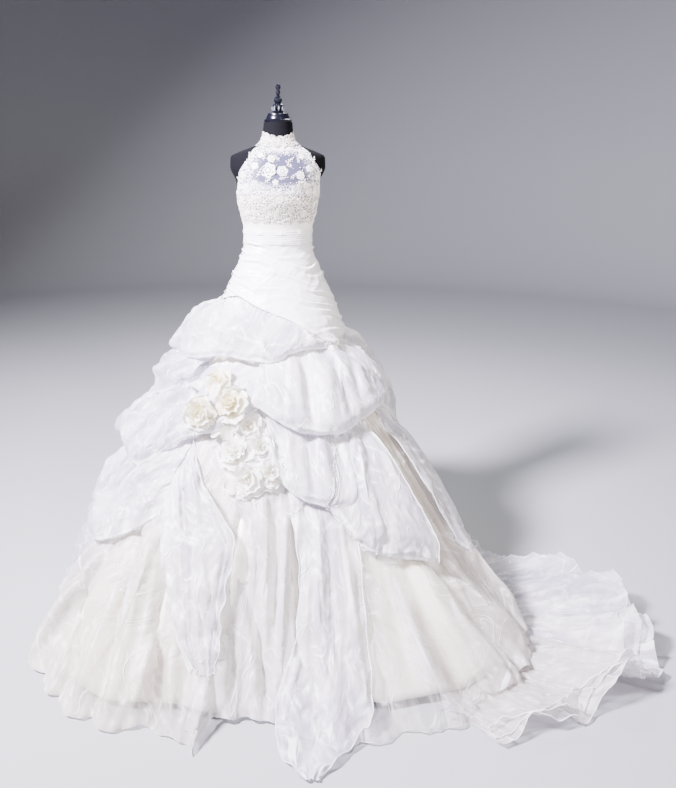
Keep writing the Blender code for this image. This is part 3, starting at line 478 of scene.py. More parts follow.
def scratches(u, v, seed, perArea, turnMean):
    # short sharp crinkles strewn over the cloth, most of them the same way
    rng = np.random.default_rng(seed)
    rise, line = np.zeros(u.shape), np.zeros(u.shape)
    area = (u.max() - u.min()) * (v.max() - v.min())
    for k in range(int(perArea * area)):
        atU, atV = rng.uniform(u.min(), u.max()), rng.uniform(v.min(), v.max())
        turn = math.radians(turnMean) + rng.normal(0, 0.55)
        half, width = rng.uniform(0.012, 0.042), rng.uniform(0.004, 0.007)
        bend, height = rng.uniform(-6, 6), rng.uniform(0.5, 1.6) * mm
        near = (np.abs(u - atU) < half) & (np.abs(v - atV) < half)
        dU, dV = u[near] - atU, v[near] - atV
        along = dU * math.cos(turn) + dV * math.sin(turn)
        away = dV * math.cos(turn) - dU * math.sin(turn) + bend * along**2
        taper = np.clip(1 - (along / half) ** 2, 0, 1)
        rise[near] += height * taper * np.exp(-np.abs(away) / width)
        # each crinkle also gets a white line: a painted highlight along its ridge
        line[near] = np.maximum(line[near], 0.8 * taper * np.exp(-((away / 0.0036) ** 2)))
    return rise, line


def looseCreases(stations, seed, count):
    # for sides without listed creases: like ones, fanned down from the seam
    rng = random.Random(seed)
    low, high = stations[0][0], stations[-1][0]
    made = []
    for k in range(count):
        turn = low + (high - low) * (k + rng.uniform(0.2, 0.8)) / count
        row = min(stations, key=lambda s: abs(s[0] - turn))
        top, foot = row[1], row[7]
        begin = top - (top - foot) * rng.uniform(0.05, 0.35)
        end = top - (top - foot) * rng.uniform(0.6, 0.95)
        made.append(
            (turn, begin, turn + rng.uniform(-9, 9), end, rng.uniform(-12, 12),
             rng.uniform(9, 22), rng.choice((-1, 1, 1)) * rng.uniform(4, 11))
        )
    return made


# cloth pieces
made = {}                     # every finished piece by name
stationLevels = (0.0, 0.3, 0.78, 1.0)
hemRoll = 1.3 * mm
clearance = 0.8 * mm          # the least air between two layers
gatherLength, gatherWidth = 0.045, 0.017
satinWall = 0.6 * mm


def clothForm(piece):
    # Angles, heights and distances out from the plain gown. A row per station has an angle, then height
    # and distance out in mm at the four levels. A row per height has it, the left and right angle, and out.
    columns, rows = piece["cells"]
    downs, acrosses = np.linspace(0, 1, rows + 1), np.linspace(0, 1, columns + 1)
    down, across = np.meshgrid(downs, acrosses, indexing="ij")
    if "rows" in piece:
        table = np.array(piece["rows"], float) / (1000, 1, 1, 1000)
        place = np.linspace(0, 1, len(table))
        height, left, right, out = (smoothCurve(downs, place, table[:, k]) for k in range(4))
        angle = np.radians(left[:, None] + (right - left)[:, None] * across)
        return across, down, angle, height[:, None] + 0 * across, out[:, None] + 0 * across
    table = np.array(piece["stations"], float)
    table[:, 1:] /= 1000
    places = np.radians(table[:, 0])
    turn = places[0] + (places[-1] - places[0]) * acrosses
    height, out = np.empty(down.shape), np.empty(down.shape)
    levels = np.array([smoothCurve(turn, places, table[:, k]) for k in range(1, 9)])
    for j in range(columns + 1):
        height[:, j] = smoothCurve(downs, stationLevels, levels[0::2, j])
        out[:, j] = smoothCurve(downs, stationLevels, levels[1::2, j])
    return across, down, np.tile(turn, (rows + 1, 1)), height, out


def rollHem(points, layers, radius, turns=5):
    # adds the narrow rolled hem below the last row of a sheet
    last = points[-1]
    along = last - points[-2]
    along /= np.linalg.norm(along, axis=-1, keepdims=True) + 1e-12
    back = -gridNormals(points)[-1]
    back -= along * np.sum(back * along, axis=-1, keepdims=True)
    back /= np.linalg.norm(back, axis=-1, keepdims=True) + 1e-12
    rows = [
        last + radius * (math.sin(t) * along + (1 - math.cos(t)) * back)
        for t in np.linspace(0, 5.0, turns + 1)[1:]
    ]
    points = np.concatenate([points, np.array(rows)])
    layers = [np.concatenate([layer, np.repeat(layer[-1:], turns, axis=0)]) for layer in layers]
    # the rolled hem is painted white and made near opaque: its denser cloth, partly a painted highlight along
    # the roll
    for layer in layers[:2]:
        layer[-turns:] = 0.9
    return points, layers


def rolledAt(side, points, layers):
    # a rolled hem at any side: the sheet is turned so that the side comes last, and back again
    turned = [points, *layers]
    if side != "bottom":
        turned = [np.swapaxes(a, 0, 1) for a in turned]
    if side == "left":
        turned = [a[::-1] for a in turned]
    points, layers = rollHem(turned[0], turned[1:], hemRoll)
    turned = [points, *layers]
    if side == "left":
        turned = [a[::-1] for a in turned]
    if side != "bottom":
        turned = [np.swapaxes(a, 0, 1) for a in turned]
    return turned[0], turned[1:]


def turnUnder(points, layers, depth):
    # a picked-up edge: the cloth bends in and a little up behind itself
    last = points[-1]
    angle, radius = polar(last)
    beneath = pile.at(angle, last[:, 2]) + clearance
    rows, path = [], ((0.10, 0.24), (0.34, 0.40), (0.66, 0.34), (1.0, 0.06), (1.3, -0.35))
    place = np.arange(len(last))
    wave = 1 + 0.25 * np.sin(place * 0.55) + 0.2 * np.sin(place * 0.23 + 1)
    for inward, drop in path:
        height = last[:, 2] - drop * depth * wave
        laid = np.maximum(beneath, pile.at(angle, height) + clearance)
        rows.append(onBody(angle, np.maximum(radius - inward * depth * wave, laid), height))
    points = np.concatenate([points, np.array(rows)])
    layers = [np.concatenate([layer, np.repeat(layer[-1:], len(path), axis=0)]) for layer in layers]
    return points, layers


def newMesh(name, points, faces, smooth=True):
    mesh = bpy.data.meshes.new(name)
    mesh.from_pydata(np.asarray(points, float).reshape(-1, 3).tolist(), [], faces)
    mesh.polygons.foreach_set("use_smooth", np.full(len(mesh.polygons), smooth))
    return mesh


def meshObject(name, points, faces, materials, layers=None, uv=None, faceMaterials=None, smooth=True):
    mesh = newMesh(name, points, faces.tolist() if isinstance(faces, np.ndarray) else faces, smooth)
    for material in materials:
        mesh.materials.append(material)
    if faceMaterials is not None:
        mesh.polygons.foreach_set("material_index", np.asarray(faceMaterials, np.int32))
    for key, values in (layers or {}).items():
        attribute = mesh.attributes.new(key, "FLOAT", "POINT")
        attribute.data.foreach_set("value", np.asarray(values, np.float32).ravel())
    if uv is not None:
        corner = np.empty(len(mesh.loops), np.int32)
        mesh.loops.foreach_get("vertex_index", corner)
        layer = mesh.uv_layers.new(name="cloth")
        layer.data.foreach_set("uv", np.asarray(uv, np.float32).reshape(-1, 2)[corner].ravel())
    mesh.update()
    made[name] = linked(name, mesh)
    return made[name]


def gridFaces(points):
    rows, columns = points.shape[0] - 1, points.shape[1] - 1
    a = (np.arange(rows)[:, None] * (columns + 1) + np.arange(columns)[None, :]).ravel()
    return np.stack([a, a + columns + 1, a + columns + 2, a + 1], axis=1)


def thickened(points, faces, wall):
    # the same sheet again behind itself, with its border closed
    flat = points.reshape(-1, 3)
    inner = flat - wall * gridNormals(points).reshape(-1, 3)
    count, rows, columns = len(flat), points.shape[0], points.shape[1]
    ids = np.arange(count).reshape(rows, columns)
    loop = np.concatenate([ids[0], ids[1:, -1], ids[-1, -2::-1], ids[-2:0:-1, 0]])
    following = np.roll(loop, -1)
    border = np.stack([loop, following, following + count, loop + count], axis=1)
    return np.concatenate([flat, inner]), np.concatenate([faces, faces[:, ::-1] + count, border])


def alongTable(table, angle):
    # a table of angle, value at the top and value at the foot, read at the cloth's own angles
    turns, tops, lows = np.array(table, float).T
    return smoothCurve(np.degrees(angle), turns, tops), smoothCurve(np.degrees(angle), turns, lows)


def hangCloth(piece):
    # one piece of cloth: laid over the pile, creased, its edge finished, then part of the pile
    across, down, angle, height, out = clothForm(piece)
    ripple, edge = piece.get("ripple", 0.0), piece.get("edge", "tucked")
    seed = piece["seed"]
    radius = gownRadius(angle, height) + out
    radius += pleats(across, down, *piece["folds"], crisp=piece.get("crisp", 0.5))
    waves, reach = piece.get("hemWaves", (1, 0))
    wave = np.abs(np.sin(np.pi * waves * across + 0.9 * np.sin(7 * across + seed))) ** 0.8 - 0.5
    radius += reach * wave * down**4
    if "hem" in piece:
        turns, levels = np.array(piece["hem"], float).T
        low = smoothCurve((np.degrees(angle[-1]) + 180) % 360 - 180, turns, levels / 1000)
        height = height + (low - height[-1]) * down**3
    points = onBody(angle, radius, height)
    folds = handCreases(points, (angle, height), piece.get("broad", ()), True)[0]
    points = layOver(points + gridNormals(points) * folds[..., None], 3 * mm)
    u, v = clothLengths(points)
    rise, line = handCreases(points, (angle, height), piece.get("creases", ()))
    strewn, fineLine = scratches(u, v, seed + 1, piece["scratches"], piece.get("grain", 80))
    amount = piece["crumple"]
    folded = crumple(u, v, seed + 2, piece.get("coarse", 0.12)) * amount
    seam = np.exp(-v / gatherLength)
    phase = u / gatherWidth + 0.9 * np.sin(u / 0.083 + seed) + 0.4 * np.sin(v / 0.05 + u / 0.03)
    gathers = (1 - 2 * np.abs(np.sin(np.pi * phase)) ** 0.8) * seam * piece.get("gathers", 2.6) * mm
    quiet = np.clip(v / 0.012, 0, 1)
    rise = (rise + folded + strewn * amount) * quiet + gathers
    toEdge = v[-1] - v
    if ripple:
        near = np.exp(-toEdge / 0.05)
        turn = u[-1] + 0 * v
        wave = np.sin(turn / 0.0125 + 2.2 * np.sin(turn / 0.071 + seed)) + 0.6 * np.sin(turn / 0.0061 + seed)
        rise = rise + ripple * mm * near * wave * 0.62
        height = points[..., 2] + ripple * 0.35 * mm * near * np.sin(turn / 0.019 + 1.7 * seed)
        points[..., 2] = np.maximum(height, 0.003)
    if piece.get("sideRipple"):
        for place in (u - u[:, :1], u[:, -1:] - u):
            wave = np.sin(v / 0.016 + 2.0 * np.sin(v / 0.09 + seed)) * np.exp(-place / 0.03)
            rise = rise + piece["sideRipple"] * mm * wave * quiet
    steep = np.hypot(*np.gradient(rise)) / 0.0022
    points = points + gridNormals(points) * rise[..., None]
    angle, radius = polar(points)
    clear = pile.at(angle, points[..., 2]) + clearance
    points = onBody(angle, np.maximum(radius, clear), np.maximum(points[..., 2], 0.0022))
    top, low = piece.get("cover", (0.8, 0.6))
    cloud = 0.10 * np.sin(u / 0.11 + seed) * np.sin(v / 0.14 + 2 * seed) + 0.05 * np.sin(u / 0.031 + v / 0.05)
    cover = top + (low - top) * down**0.8 + cloud + 0.22 * seam + 0.16 * np.clip(steep, 0, 1.2)
    if "coverAt" in piece:
        high, deep = alongTable(piece["coverAt"], angle)
        cover += high + (deep - high) * down**0.8 - (top + (low - top) * down**0.8)
        cover += 0.20 * np.exp(-toEdge / 0.05)
    # a tucked edge is more opaque and gets a white line: a painted highlight along the turned edge, partly
    # the denser cloth
    if edge == "tucked":
        cover += 0.30 * np.exp(-toEdge / 0.03)
        line = np.maximum(line, 0.7 * np.exp(-((toEdge / 0.005) ** 2)))
    # gather ridges and strewn crinkles also get white lines: painted highlights
    line = np.maximum(np.maximum(line, fineLine * 0.8), np.clip(gathers / 0.003, 0, 1) * 0.35)
    layers = [np.clip(line, 0, 1), np.clip(cover, 0, 1), u, v]
    if "warmAt" in piece:
        high, deep = alongTable(piece["warmAt"], angle)
        layers.append(np.clip(high + (deep - high) * down, 0, 1))
    if edge == "tucked":
        points, layers = turnUnder(points, layers, piece.get("tuck", 0.026))
    for side in ("bottom", "left", "right"):
        if side in piece.get("rolled", ()):
            points, layers = rolledAt(side, points, layers)
    points[..., 2] = np.maximum(points[..., 2], 0.0012)
    faces = gridFaces(points)
    mesh, uv = points, np.stack(layers[2:4], axis=-1)
    crease, cover = layers[0], layers[1]
    values = {"warm": layers[4]} if "warmAt" in piece else {}
    if piece.get("wall"):
        mesh, faces = thickened(points, faces, piece["wall"])
        crease, cover = np.tile(crease.ravel(), 2), np.tile(cover.ravel(), 2)
        uv = np.tile(uv.reshape(-1, 2), (2, 1))
    stampCloth(points)
    cloth = [piece.get("cloth", organzaCloth)]
    meshObject(piece["name"], mesh, faces, cloth, {"crease": crease, "cover": cover, **values}, uv)
    print(piece["name"], len(faces), "faces, width", round(float(np.ptp(u[-1])), 3), "length",
          round(float(v.max()), 3))


def startPile():
    turn = -math.pi + 2 * math.pi * np.arange(pile.values.shape[0]) / pile.values.shape[0]
    for k in range(pile.values.shape[1]):
        height = k * pileStep
        pile.values[:, k] = sectionRadius(torsoSections, turn, height) if height > bodyFoot else poleRadius


torsoSections = (
    # height, half width, front depth, back depth
    (0.86, 0.15, 0.12, 0.125), (0.868, 0.168, 0.136, 0.142), (0.93, 0.172, 0.14, 0.147),
    (1.0, 0.158, 0.126, 0.13), (1.07, 0.132, 0.1, 0.096), (1.14, 0.112, 0.085, 0.071),
    (1.19, 0.112, 0.085, 0.07), (1.25, 0.125, 0.1, 0.074), (1.3, 0.134, 0.115, 0.078),
    (1.35, 0.138, 0.112, 0.082), (1.4, 0.158, 0.096, 0.084), (1.432, 0.157, 0.082, 0.078),
    (1.452, 0.12, 0.068, 0.066), (1.47, 0.074, 0.058, 0.056), (1.495, 0.053, 0.05, 0.048),
    (1.545, 0.047, 0.045, 0.044),
)
startPile()

liningHem = (
    # angle, height in mm
    (-180, 26), (-90, 20), (-60, 22), (-30, 28), (-12, 28), (0, 28), (14, 26), (28, 26), (45, 30), (60, 30),
    (90, 26), (180, 26),
)

liningFront = {
    "name": "liningFront", "cells": (180, 80), "seed": 11,
    "stations": (
        (-89.7, 1040, -10, 800, -12, 300, -50, 12, -90), (-74, 1040, -10, 800, -12, 300, -40, 12, -70),
        (-60, 1040, -10, 800, -12, 300, -16, 12, -20), (0, 1040, -10, 800, -12, 300, -10, 12, 0),
        (89.7, 1040, -10, 800, -12, 300, -20, 12, -20),
    ),
    "hem": liningHem, "folds": (8, 0.014, 0.9, 0, 0.1), "crisp": 0.3,
    "broad": (
        (18, 360, 9, 50, 4, 26, 26), (13, 360, 5, 20, 4, 18, -34), (31, 320, 37, 20, 3, 24, 21),
        (25, 280, 26, 20, 1, 30, 16), (-4, 420, -7, 20, 2, 18, 18), (-11, 420, -15, 30, 2, 16, -23),
        (-18, 400, -22, 30, 2, 20, 21), (-26, 380, -29, 30, 3, 18, -23),
    ),
    "creases": (
        (33, 300, 41, 70, 4, 16, 7), (24, 300, 22, 80, -3, 20, -5), (16, 420, 15, 80, 2, 14, 5),
        (-12, 450, -17, 70, 3, 14, 6), (-30, 500, -36, 60, 4, 20, 6), (-50, 500, -58, 50, 5, 22, 7),
    ),
    "crumple": 0.18, "scratches": 30, "gathers": 1.0, "edge": "plain", "cloth": satinCloth, "wall": 0.7 * mm,
    "flat": (2.6, 1.30), "area": 1.58,
}
liningBack = {
    "name": "liningBack", "cells": (130, 60), "seed": 12,
    "stations": (
        (90.3, 1040, -10, 800, -12, 300, -20, 12, -20), (180, 1040, -10, 800, -10, 300, -10, 12, 0),
        (240, 1040, -10, 800, -12, 300, -20, 12, -30), (269.7, 1040, -10, 800, -12, 300, -50, 12, -90),
    ),
    "hem": liningHem, "folds": (7, 0.026, 0.9, 0, 0.4), "crisp": 0.3, "crumple": 0.18, "scratches": 10,
    "gathers": 1.0, "edge": "plain", "cloth": satinCloth, "wall": 0.7 * mm, "flat": (2.3, 1.30), "area": 1.42,
}
overlayLeft = {
    "name": "overlayLeft", "cells": (250, 130), "seed": 21,
    "stations": (
        (-118, 780, -20, 500, 0, 200, 5, 30, 20), (-92, 780, -20, 500, 12, 200, 18, 12, 35),
        (-60, 780, -20, 500, 18, 200, 24, 10, 35), (-42, 780, -20, 500, 18, 200, 28, 10, 55),
        (-31, 780, -20, 500, 14, 200, 20, 10, 55), (-25, 780, -20, 500, 14, 200, 20, 10, 70),
        (-21, 780, -20, 500, 14, 200, 28, 10, 125),
    ),
    "broad": (
        (-59, 270, -61, 20, 2, 15, 47), (-66, 270, -68, 20, 2, 12, -48), (-50, 349, -41, 50, 4, 21, -45),
        (-37, 295, -30, 20, 3, 19, -48), (-34, 193, -34, 50, 2, 15, 36), (-43, 366, -38, 60, 3, 19, 45),
        (-60, 220, -50, 50, 3, 19, -40), (-67, 259, -67, 40, 3, 23, 45), (-49, 305, -45, 60, 2, 15, 27),
        (-30, 162, -26, 30, 2, 14, 32), (-80, 300, -84, 40, 4, 25, -45), (-92, 320, -96, 40, 4, 25, 45),
        (-74, 300, -76, 40, 3, 19, -32), (-104, 320, -108, 50, 3, 25, -40),
    ),
    "folds": (9, 0.0140, 0.8, 0.1, 0.2), "crisp": 0.5,
    "creases": (
        (-63, 238, -46, 18, 8, 10, 9), (-49, 331, -40, 34, -6, 12, 10), (-46, 374, -40, 110, 5, 9, 8),
        (-40, 320, -34, 42, 4, 10, 9), (-36, 260, -31, 45, 3, 8, 6), (-33, 242, -27, 49, 3, 8, 6),
        (-91, 69, -56, 62, 6, 7, 6), (-66, 260, -58, 143, 4, 8, 7), (-89, 15, -62, 12, -6, 7, 5),
        (-59, 211, -51, 109, 3, 8, 6), (-59, 70, -49, 110, 2, 6, 5), (-74, 31, -54, 144, 8, 8, 7),
        (-86, 10, -55, 182, 10, 9, 7), (-96, 400, -80, 50, 8, 12, 9), (-104, 350, -97, 60, -6, 12, 8),
        (-82, 300, -70, 60, 6, 10, 8),
    ),
    "warmAt": ((-112, 0, 0), (-80, 0, 0.2), (-62, 0.2, 1), (-36, 0.3, 1), (-20, 0.3, 0.6)),
    "hemWaves": (11, 0.030), "crumple": 0.64, "coarse": 0.09, "scratches": 330, "grain": 70, "ripple": 7,
    "cover": (0.74, 0.40), "edge": "raw",
    "coverAt": (
        (-118, 0.62, 0.4), (-100, 0.55, 0.32), (-90, 0.48, 0.22), (-72, 0.46, 0.22), (-66, 0.58, 0.38),
        (-60, 0.7, 0.46), (-40, 0.72, 0.46), (-33, 0.62, 0.4), (-28, 0.5, 0.28), (-21, 0.4, 0.2),
    ),
    "rolled": ("bottom",), "flat": (1.75, 0.80), "area": 0.92,
}
overlayFront = {
    "name": "overlayFront", "cells": (130, 140), "seed": 22,
    "stations": (
        (-23.5, 780, -20, 500, 10, 200, 15, 30, 5), (-10, 780, -20, 500, 10, 200, 16, 12, 18),
        (-2, 780, -20, 500, 10, 200, 25, 10, 90), (4, 780, -20, 500, 10, 200, 26, 9, 135),
        (14, 780, -20, 500, 12, 200, 26, 9, 95), (26, 780, -20, 500, 12, 200, 28, 10, 85),
    ),
    "broad": (
        (-20, 422, -9, 50, 5, 15, -44), (-12, 460, -10, 200, 2, 13, 29), (-23, 369, -18, 50, 3, 15, 37),
        (-15, 370, -12, 70, 2, 15, 32), (-5, 412, -6, 100, 2, 14, 37), (-2, 409, -2, 200, 1, 11, -29),
        (4, 455, -3, 100, 3, 13, -37), (7, 408, 4, 150, 2, 13, 29), (15, 345, 12, 60, 2, 18, -48),
        (20, 340, 17, 50, 2, 20, 37),
    ),
    "folds": (5, 0.012, 0.8, 0, 0.6), "crisp": 0.5,
    "creases": (
        (-19, 378, -10, 68, 6, 11, 9), (-23, 333, -20, 90, 3, 9, 7), (-13, 468, -11, 248, 2, 9, 7),
        (-5, 419, -3, 118, 2, 8, 7), (-8, 332, -8, 86, 1, 9, -7), (-16, 422, -16, 334, 1, 7, 5),
        (-18, 250, -16, 71, 2, 9, -6),
    ),
    "warmAt": ((-30, 0.1, 0.5), (-8, 0.3, 0.3), (10, 0.4, 0.4), (32, 0.5, 0.6)), "hemWaves": (6, 0.020),
    "crumple": 0.48, "coarse": 0.08, "scratches": 260, "ripple": 6, "cover": (0.66, 0.42), "edge": "raw",
    "coverAt": (
        (-23.5, 0.42, 0.24), (-18, 0.66, 0.46), (-8, 0.72, 0.52), (2, 0.66, 0.48), (7, 0.5, 0.34),
        (12, 0.22, 0.12), (26, 0.08, 0.08),
    ),
    "rolled": ("bottom",), "flat": (0.85, 0.85), "area": 0.47,
}
overlayRight = {
    "name": "overlayRight", "cells": (200, 120), "seed": 23,
    "stations": (
        (21, 780, -20, 500, 20, 200, 40, 36, 100), (36, 780, -20, 500, 0, 200, 16, 36, 75),
        (46, 780, -20, 500, 0, 200, 20, 36, 70), (60, 780, -20, 500, 4, 200, 18, 36, 45),
        (90, 780, -20, 500, 0, 200, 6, 36, 30), (106, 780, -20, 500, 0, 200, 6, 36, 30),
    ),
    "broad": (
        (24, 283, 23, 40, 1, 26, 25), (29, 312, 30, 40, 1, 20, -31), (33, 298, 38, 40, 2, 18, 48),
        (35.5, 297, 42, 40, 2, 13, -47), (42, 218, 47, 40, 2, 18, 48), (40, 282, 51, 40, 3, 13, -48),
        (52, 300, 56, 40, 2, 20, 47), (60, 300, 65, 40, 2, 18, -28), (70, 300, 75, 50, 2, 20, 26),
        (79, 300, 84, 50, 2, 18, -26), (90, 300, 94, 50, 2, 22, 26),
    ),
    "folds": (8, 0.0150, 0.8, -0.2, 0.3), "crisp": 0.85,
    "creases": (
        (24, 275, 23, 40, 2, 9, 7), (32, 293, 30, 45, 3, 9, -7), (37, 280, 40, 45, 3, 10, 9),
        (43, 260, 51, 45, 5, 10, 9), (35, 229, 35, 78, 1, 8, 6), (29, 289, 29, 118, 1, 7, 5),
        (55, 300, 60, 50, 4, 10, 9), (66, 320, 72, 50, 4, 11, 9), (78, 320, 84, 50, 3, 11, 8),
        (92, 320, 96, 50, 3, 12, 8),
    ),
    "warmAt": (
        (14, 0, 0), (26, 0.4, 0.4), (36, 1, 0.6), (50, 1, 0.6), (64, 0.5, 0.5), (84, 0.1, 0.3), (110, 0, 0),
    ),
    "hemWaves": (9, 0.030), "crumple": 0.48, "coarse": 0.08, "scratches": 260, "ripple": 8,
    "cover": (0.62, 0.44), "edge": "raw",
    "coverAt": (
        (21, 0.08, 0.08), (30, 0.1, 0.08), (36, 0.56, 0.42), (46, 0.7, 0.52), (60, 0.66, 0.44),
        (106, 0.6, 0.42),
    ),
    "rolled": ("bottom",), "flat": (1.60, 0.80), "area": 0.78,
}
overlayBack = {
    "name": "overlayBack", "cells": (190, 85), "seed": 24,
    "stations": (
        (100, 780, -20, 500, 20, 200, 30, 40, 60), (140, 780, -20, 500, 20, 200, 40, 36, 70),
        (190, 780, -20, 500, 20, 200, 45, 36, 80), (225, 780, -20, 500, 20, 200, 40, 34, 60),
        (246, 780, -20, 500, 14, 200, 30, 30, 50),
    ),
    "broad": (
        (112, 320, 114, 50, 2, 22, 36), (122, 320, 125, 50, 2, 20, -36), (134, 330, 136, 50, 2, 22, 40),
        (146, 330, 147, 50, 2, 20, -36), (158, 330, 159, 50, 2, 22, 40), (170, 330, 171, 50, 2, 20, -40),
        (182, 330, 183, 50, 2, 22, 40), (194, 330, 194, 50, 2, 20, -36), (206, 330, 206, 50, 2, 22, 36),
        (218, 330, 219, 50, 2, 20, -36), (230, 330, 232, 50, 2, 22, 32),
    ),
    "folds": (12, 0.0182, 0.9, 0.1, 0.7), "crisp": 0.5, "loose": 14, "hemWaves": (15, 0.030), "crumple": 0.63,
    "coarse": 0.10, "scratches": 140, "ripple": 8, "cover": (0.62, 0.42), "edge": "raw",
    "rolled": ("bottom",), "flat": (2.60, 0.80), "area": 1.20,
}
frontCascade = {
    "name": "frontCascade", "cells": (70, 120), "seed": 31,
    "rows": (
        (480, -3, 17, -20), (400, -2, 17.5, 24), (300, -1, 16, 30), (200, -2, 14, 36), (120, -5, 13, 46),
        (60, -7.5, 11, 70), (22, -7, 6, 140), (13, -3.2, -1.2, 222),
    ),
    "broad": (
        (4, 464, -3, 137, 3, 9, -21), (7, 463, 3, 134, 3, 10, 21), (9.5, 417, 6, 135, 2, 9, -18),
        (-3, 127, -6, 40, 2, 8, 15), (-1, 115, -1, 30, 1, 7, -15), (3, 128, 5, 30, 1, 8, 18),
        (13, 400, 11, 100, 2, 10, 15),
    ),
    "folds": (2, 0.010, 0.8, 0.2, 0.1), "crisp": 0.5,
    "creases": (
        (0, 436, -4, 131, 3, 7, 7), (8, 425, 4, 128, 4, 8, -7), (8, 251, 7, 51, 2, 7, 6),
        (2, 293, -1, 127, 2, 6, 5), (-3, 130, -3, 20, 6, 6, 7), (-3, 130, 3, 20, -8, 6, 7),
        (-1, 50, 2, 15, 2, 5, 5), (-4, 74, 1, 25, 2, 5, 5), (-6, 95, -3, 44, 2, 5, 4),
        (13, 400, 11, 80, 3, 8, 7),
    ),
    "crumple": 0.6, "coarse": 0.06, "scratches": 700, "ripple": 3, "sideRipple": 6, "cover": (0.60, 0.36),
    "edge": "raw", "coverAt": ((-8, 0.6, 0.5), (4, 0.66, 0.5), (10, 0.45, 0.36), (17.5, 0.2, 0.24)),
    "rolled": ("bottom", "left", "right"), "flat": (0.33, 0.55),
}
leftCascade = {
    "name": "leftCascade", "cells": (60, 110), "seed": 32,
    "rows": (
        (600, -53, -45, -20), (500, -45, -33, 40), (440, -42, -24, 56), (380, -39, -19, 64),
        (270, -33, -20, 62), (180, -29, -20, 58), (120, -25, -20, 52),
    ),
    "broad": (
        (-39, 486, -23, 190, 5, 10, -34), (-37, 519, -22, 212, 4, 10, 31), (-50, 564, -32, 272, 5, 14, 21),
    ),
    "folds": (1.6, 0.012, 0.7, 0.2, 0.5), "crisp": 0.6,
    "creases": (
        (-47, 571, -30, 273, 8, 12, -12), (-42, 567, -30, 336, 6, 10, 12), (-33, 515, -21, 375, 5, 8, 9),
        (-35, 388, -28, 382, 2, 8, 6), (-26, 319, -26, 277, 1, 7, 5), (-29, 326, -21, 179, 3, 8, 9),
        (-46, 523, -37, 331, 4, 9, 8), (-23, 342, -23, 259, 1, 7, 6),
    ),
    "crumple": 0.8, "coarse": 0.06, "scratches": 700, "ripple": 4, "sideRipple": 7, "cover": (0.66, 0.46),
    "edge": "raw", "rolled": ("bottom", "left", "right"), "flat": (0.26, 0.60), "area": 0.11,
}
leftLowPouf = {
    "name": "leftLowPouf", "cells": (160, 90), "seed": 41,
    "stations": (
        (-122, 600, -20, 480, 40, 280, 55, 220, 38), (-97, 600, -20, 460, 60, 270, 85, 200, 59),
        (-76, 600, -20, 470, 55, 310, 88, 250, 62), (-60, 600, -20, 500, 45, 370, 80, 318, 56),
        (-51, 600, -20, 510, 35, 420, 66, 370, 46), (-45, 590, -20, 530, 20, 460, 30, 420, 21),
    ),
    "broad": (
        (-57, 451, -52, 374, 2, 17, -39), (-69, 407, -63, 340, 2, 24, 34), (-54, 484, -47, 418, 2, 14, -27),
        (-50, 551, -60, 442, 4, 19, 27), (-91, 335, -69, 322, 6, 24, 27), (-78, 450, -82, 280, 4, 19, -34),
        (-95, 440, -100, 240, 4, 24, 32), (-108, 450, -112, 250, 4, 22, -32),
    ),
    "folds": (5.2, 0.009, 0.6, 0.3, 0.2),
    "creases": (
        (-50, 581, -64, 453, 6, 10, 9), (-64, 453, -56, 340, 8, 9, 8), (-48, 543, -57, 473, 3, 9, 8),
        (-57, 473, -50, 378, 6, 9, 8), (-55, 508, -54, 371, 4, 10, -9), (-96, 264, -70, 432, 8, 12, -9),
        (-72, 320, -65, 395, 4, 9, -7), (-47, 452, -45, 404, 2, 8, -5), (-85, 420, -92, 280, 6, 12, 9),
        (-104, 450, -108, 280, 4, 14, 9), (-78, 440, -84, 300, 4, 9, 7),
    ),
    "crumple": 0.7, "coarse": 0.12, "scratches": 160, "tuck": 0.014, "cover": (0.72, 0.46),
    "flat": (1.25, 0.55), "area": 0.40,
}
centrePouch = {
    "name": "centrePouch", "cells": (90, 66), "seed": 42,
    "stations": (
        (-13, 680, -20, 645, 20, 600, 30, 580, 21), (-4, 680, -20, 610, 30, 540, 58, 505, 41),
        (5, 680, -20, 590, 35, 505, 66, 465, 46), (17, 680, -20, 580, 35, 490, 66, 450, 46),
        (24, 680, -20, 590, 28, 520, 50, 480, 35), (28, 670, -20, 620, 20, 580, 25, 560, 17),
    ),
    "broad": (
        (20, 618, 18, 521, 2, 12, -18), (-2, 626, -2, 497, 2, 17, 14), (7, 624, 5, 489, 2, 14, -14),
        (13, 622, 11, 495, 2, 17, 14), (-8, 619, -4, 530, 2, 12, -14),
    ),
    "folds": (2.2, 0.004, 0.7, 0.1, 0.3), "crisp": 0.3,
    "creases": (
        (-14, 632, -8, 571, 2, 8, 5), (-4, 618, -3, 522, 2, 9, -5), (11, 614, 7, 484, 3, 10, 5),
        (21, 608, 17, 514, 2, 9, 6), (-10, 548, 4, 492, 4, 8, 5), (1, 492, 16, 476, 2, 8, 5),
        (16, 587, 16, 492, 2, 9, -5),
    ),
    "crumple": 0.4, "coarse": 0.07, "scratches": 150, "tuck": 0.014, "cover": (0.72, 0.56),
    "flat": (0.42, 0.32), "area": 0.10,
}
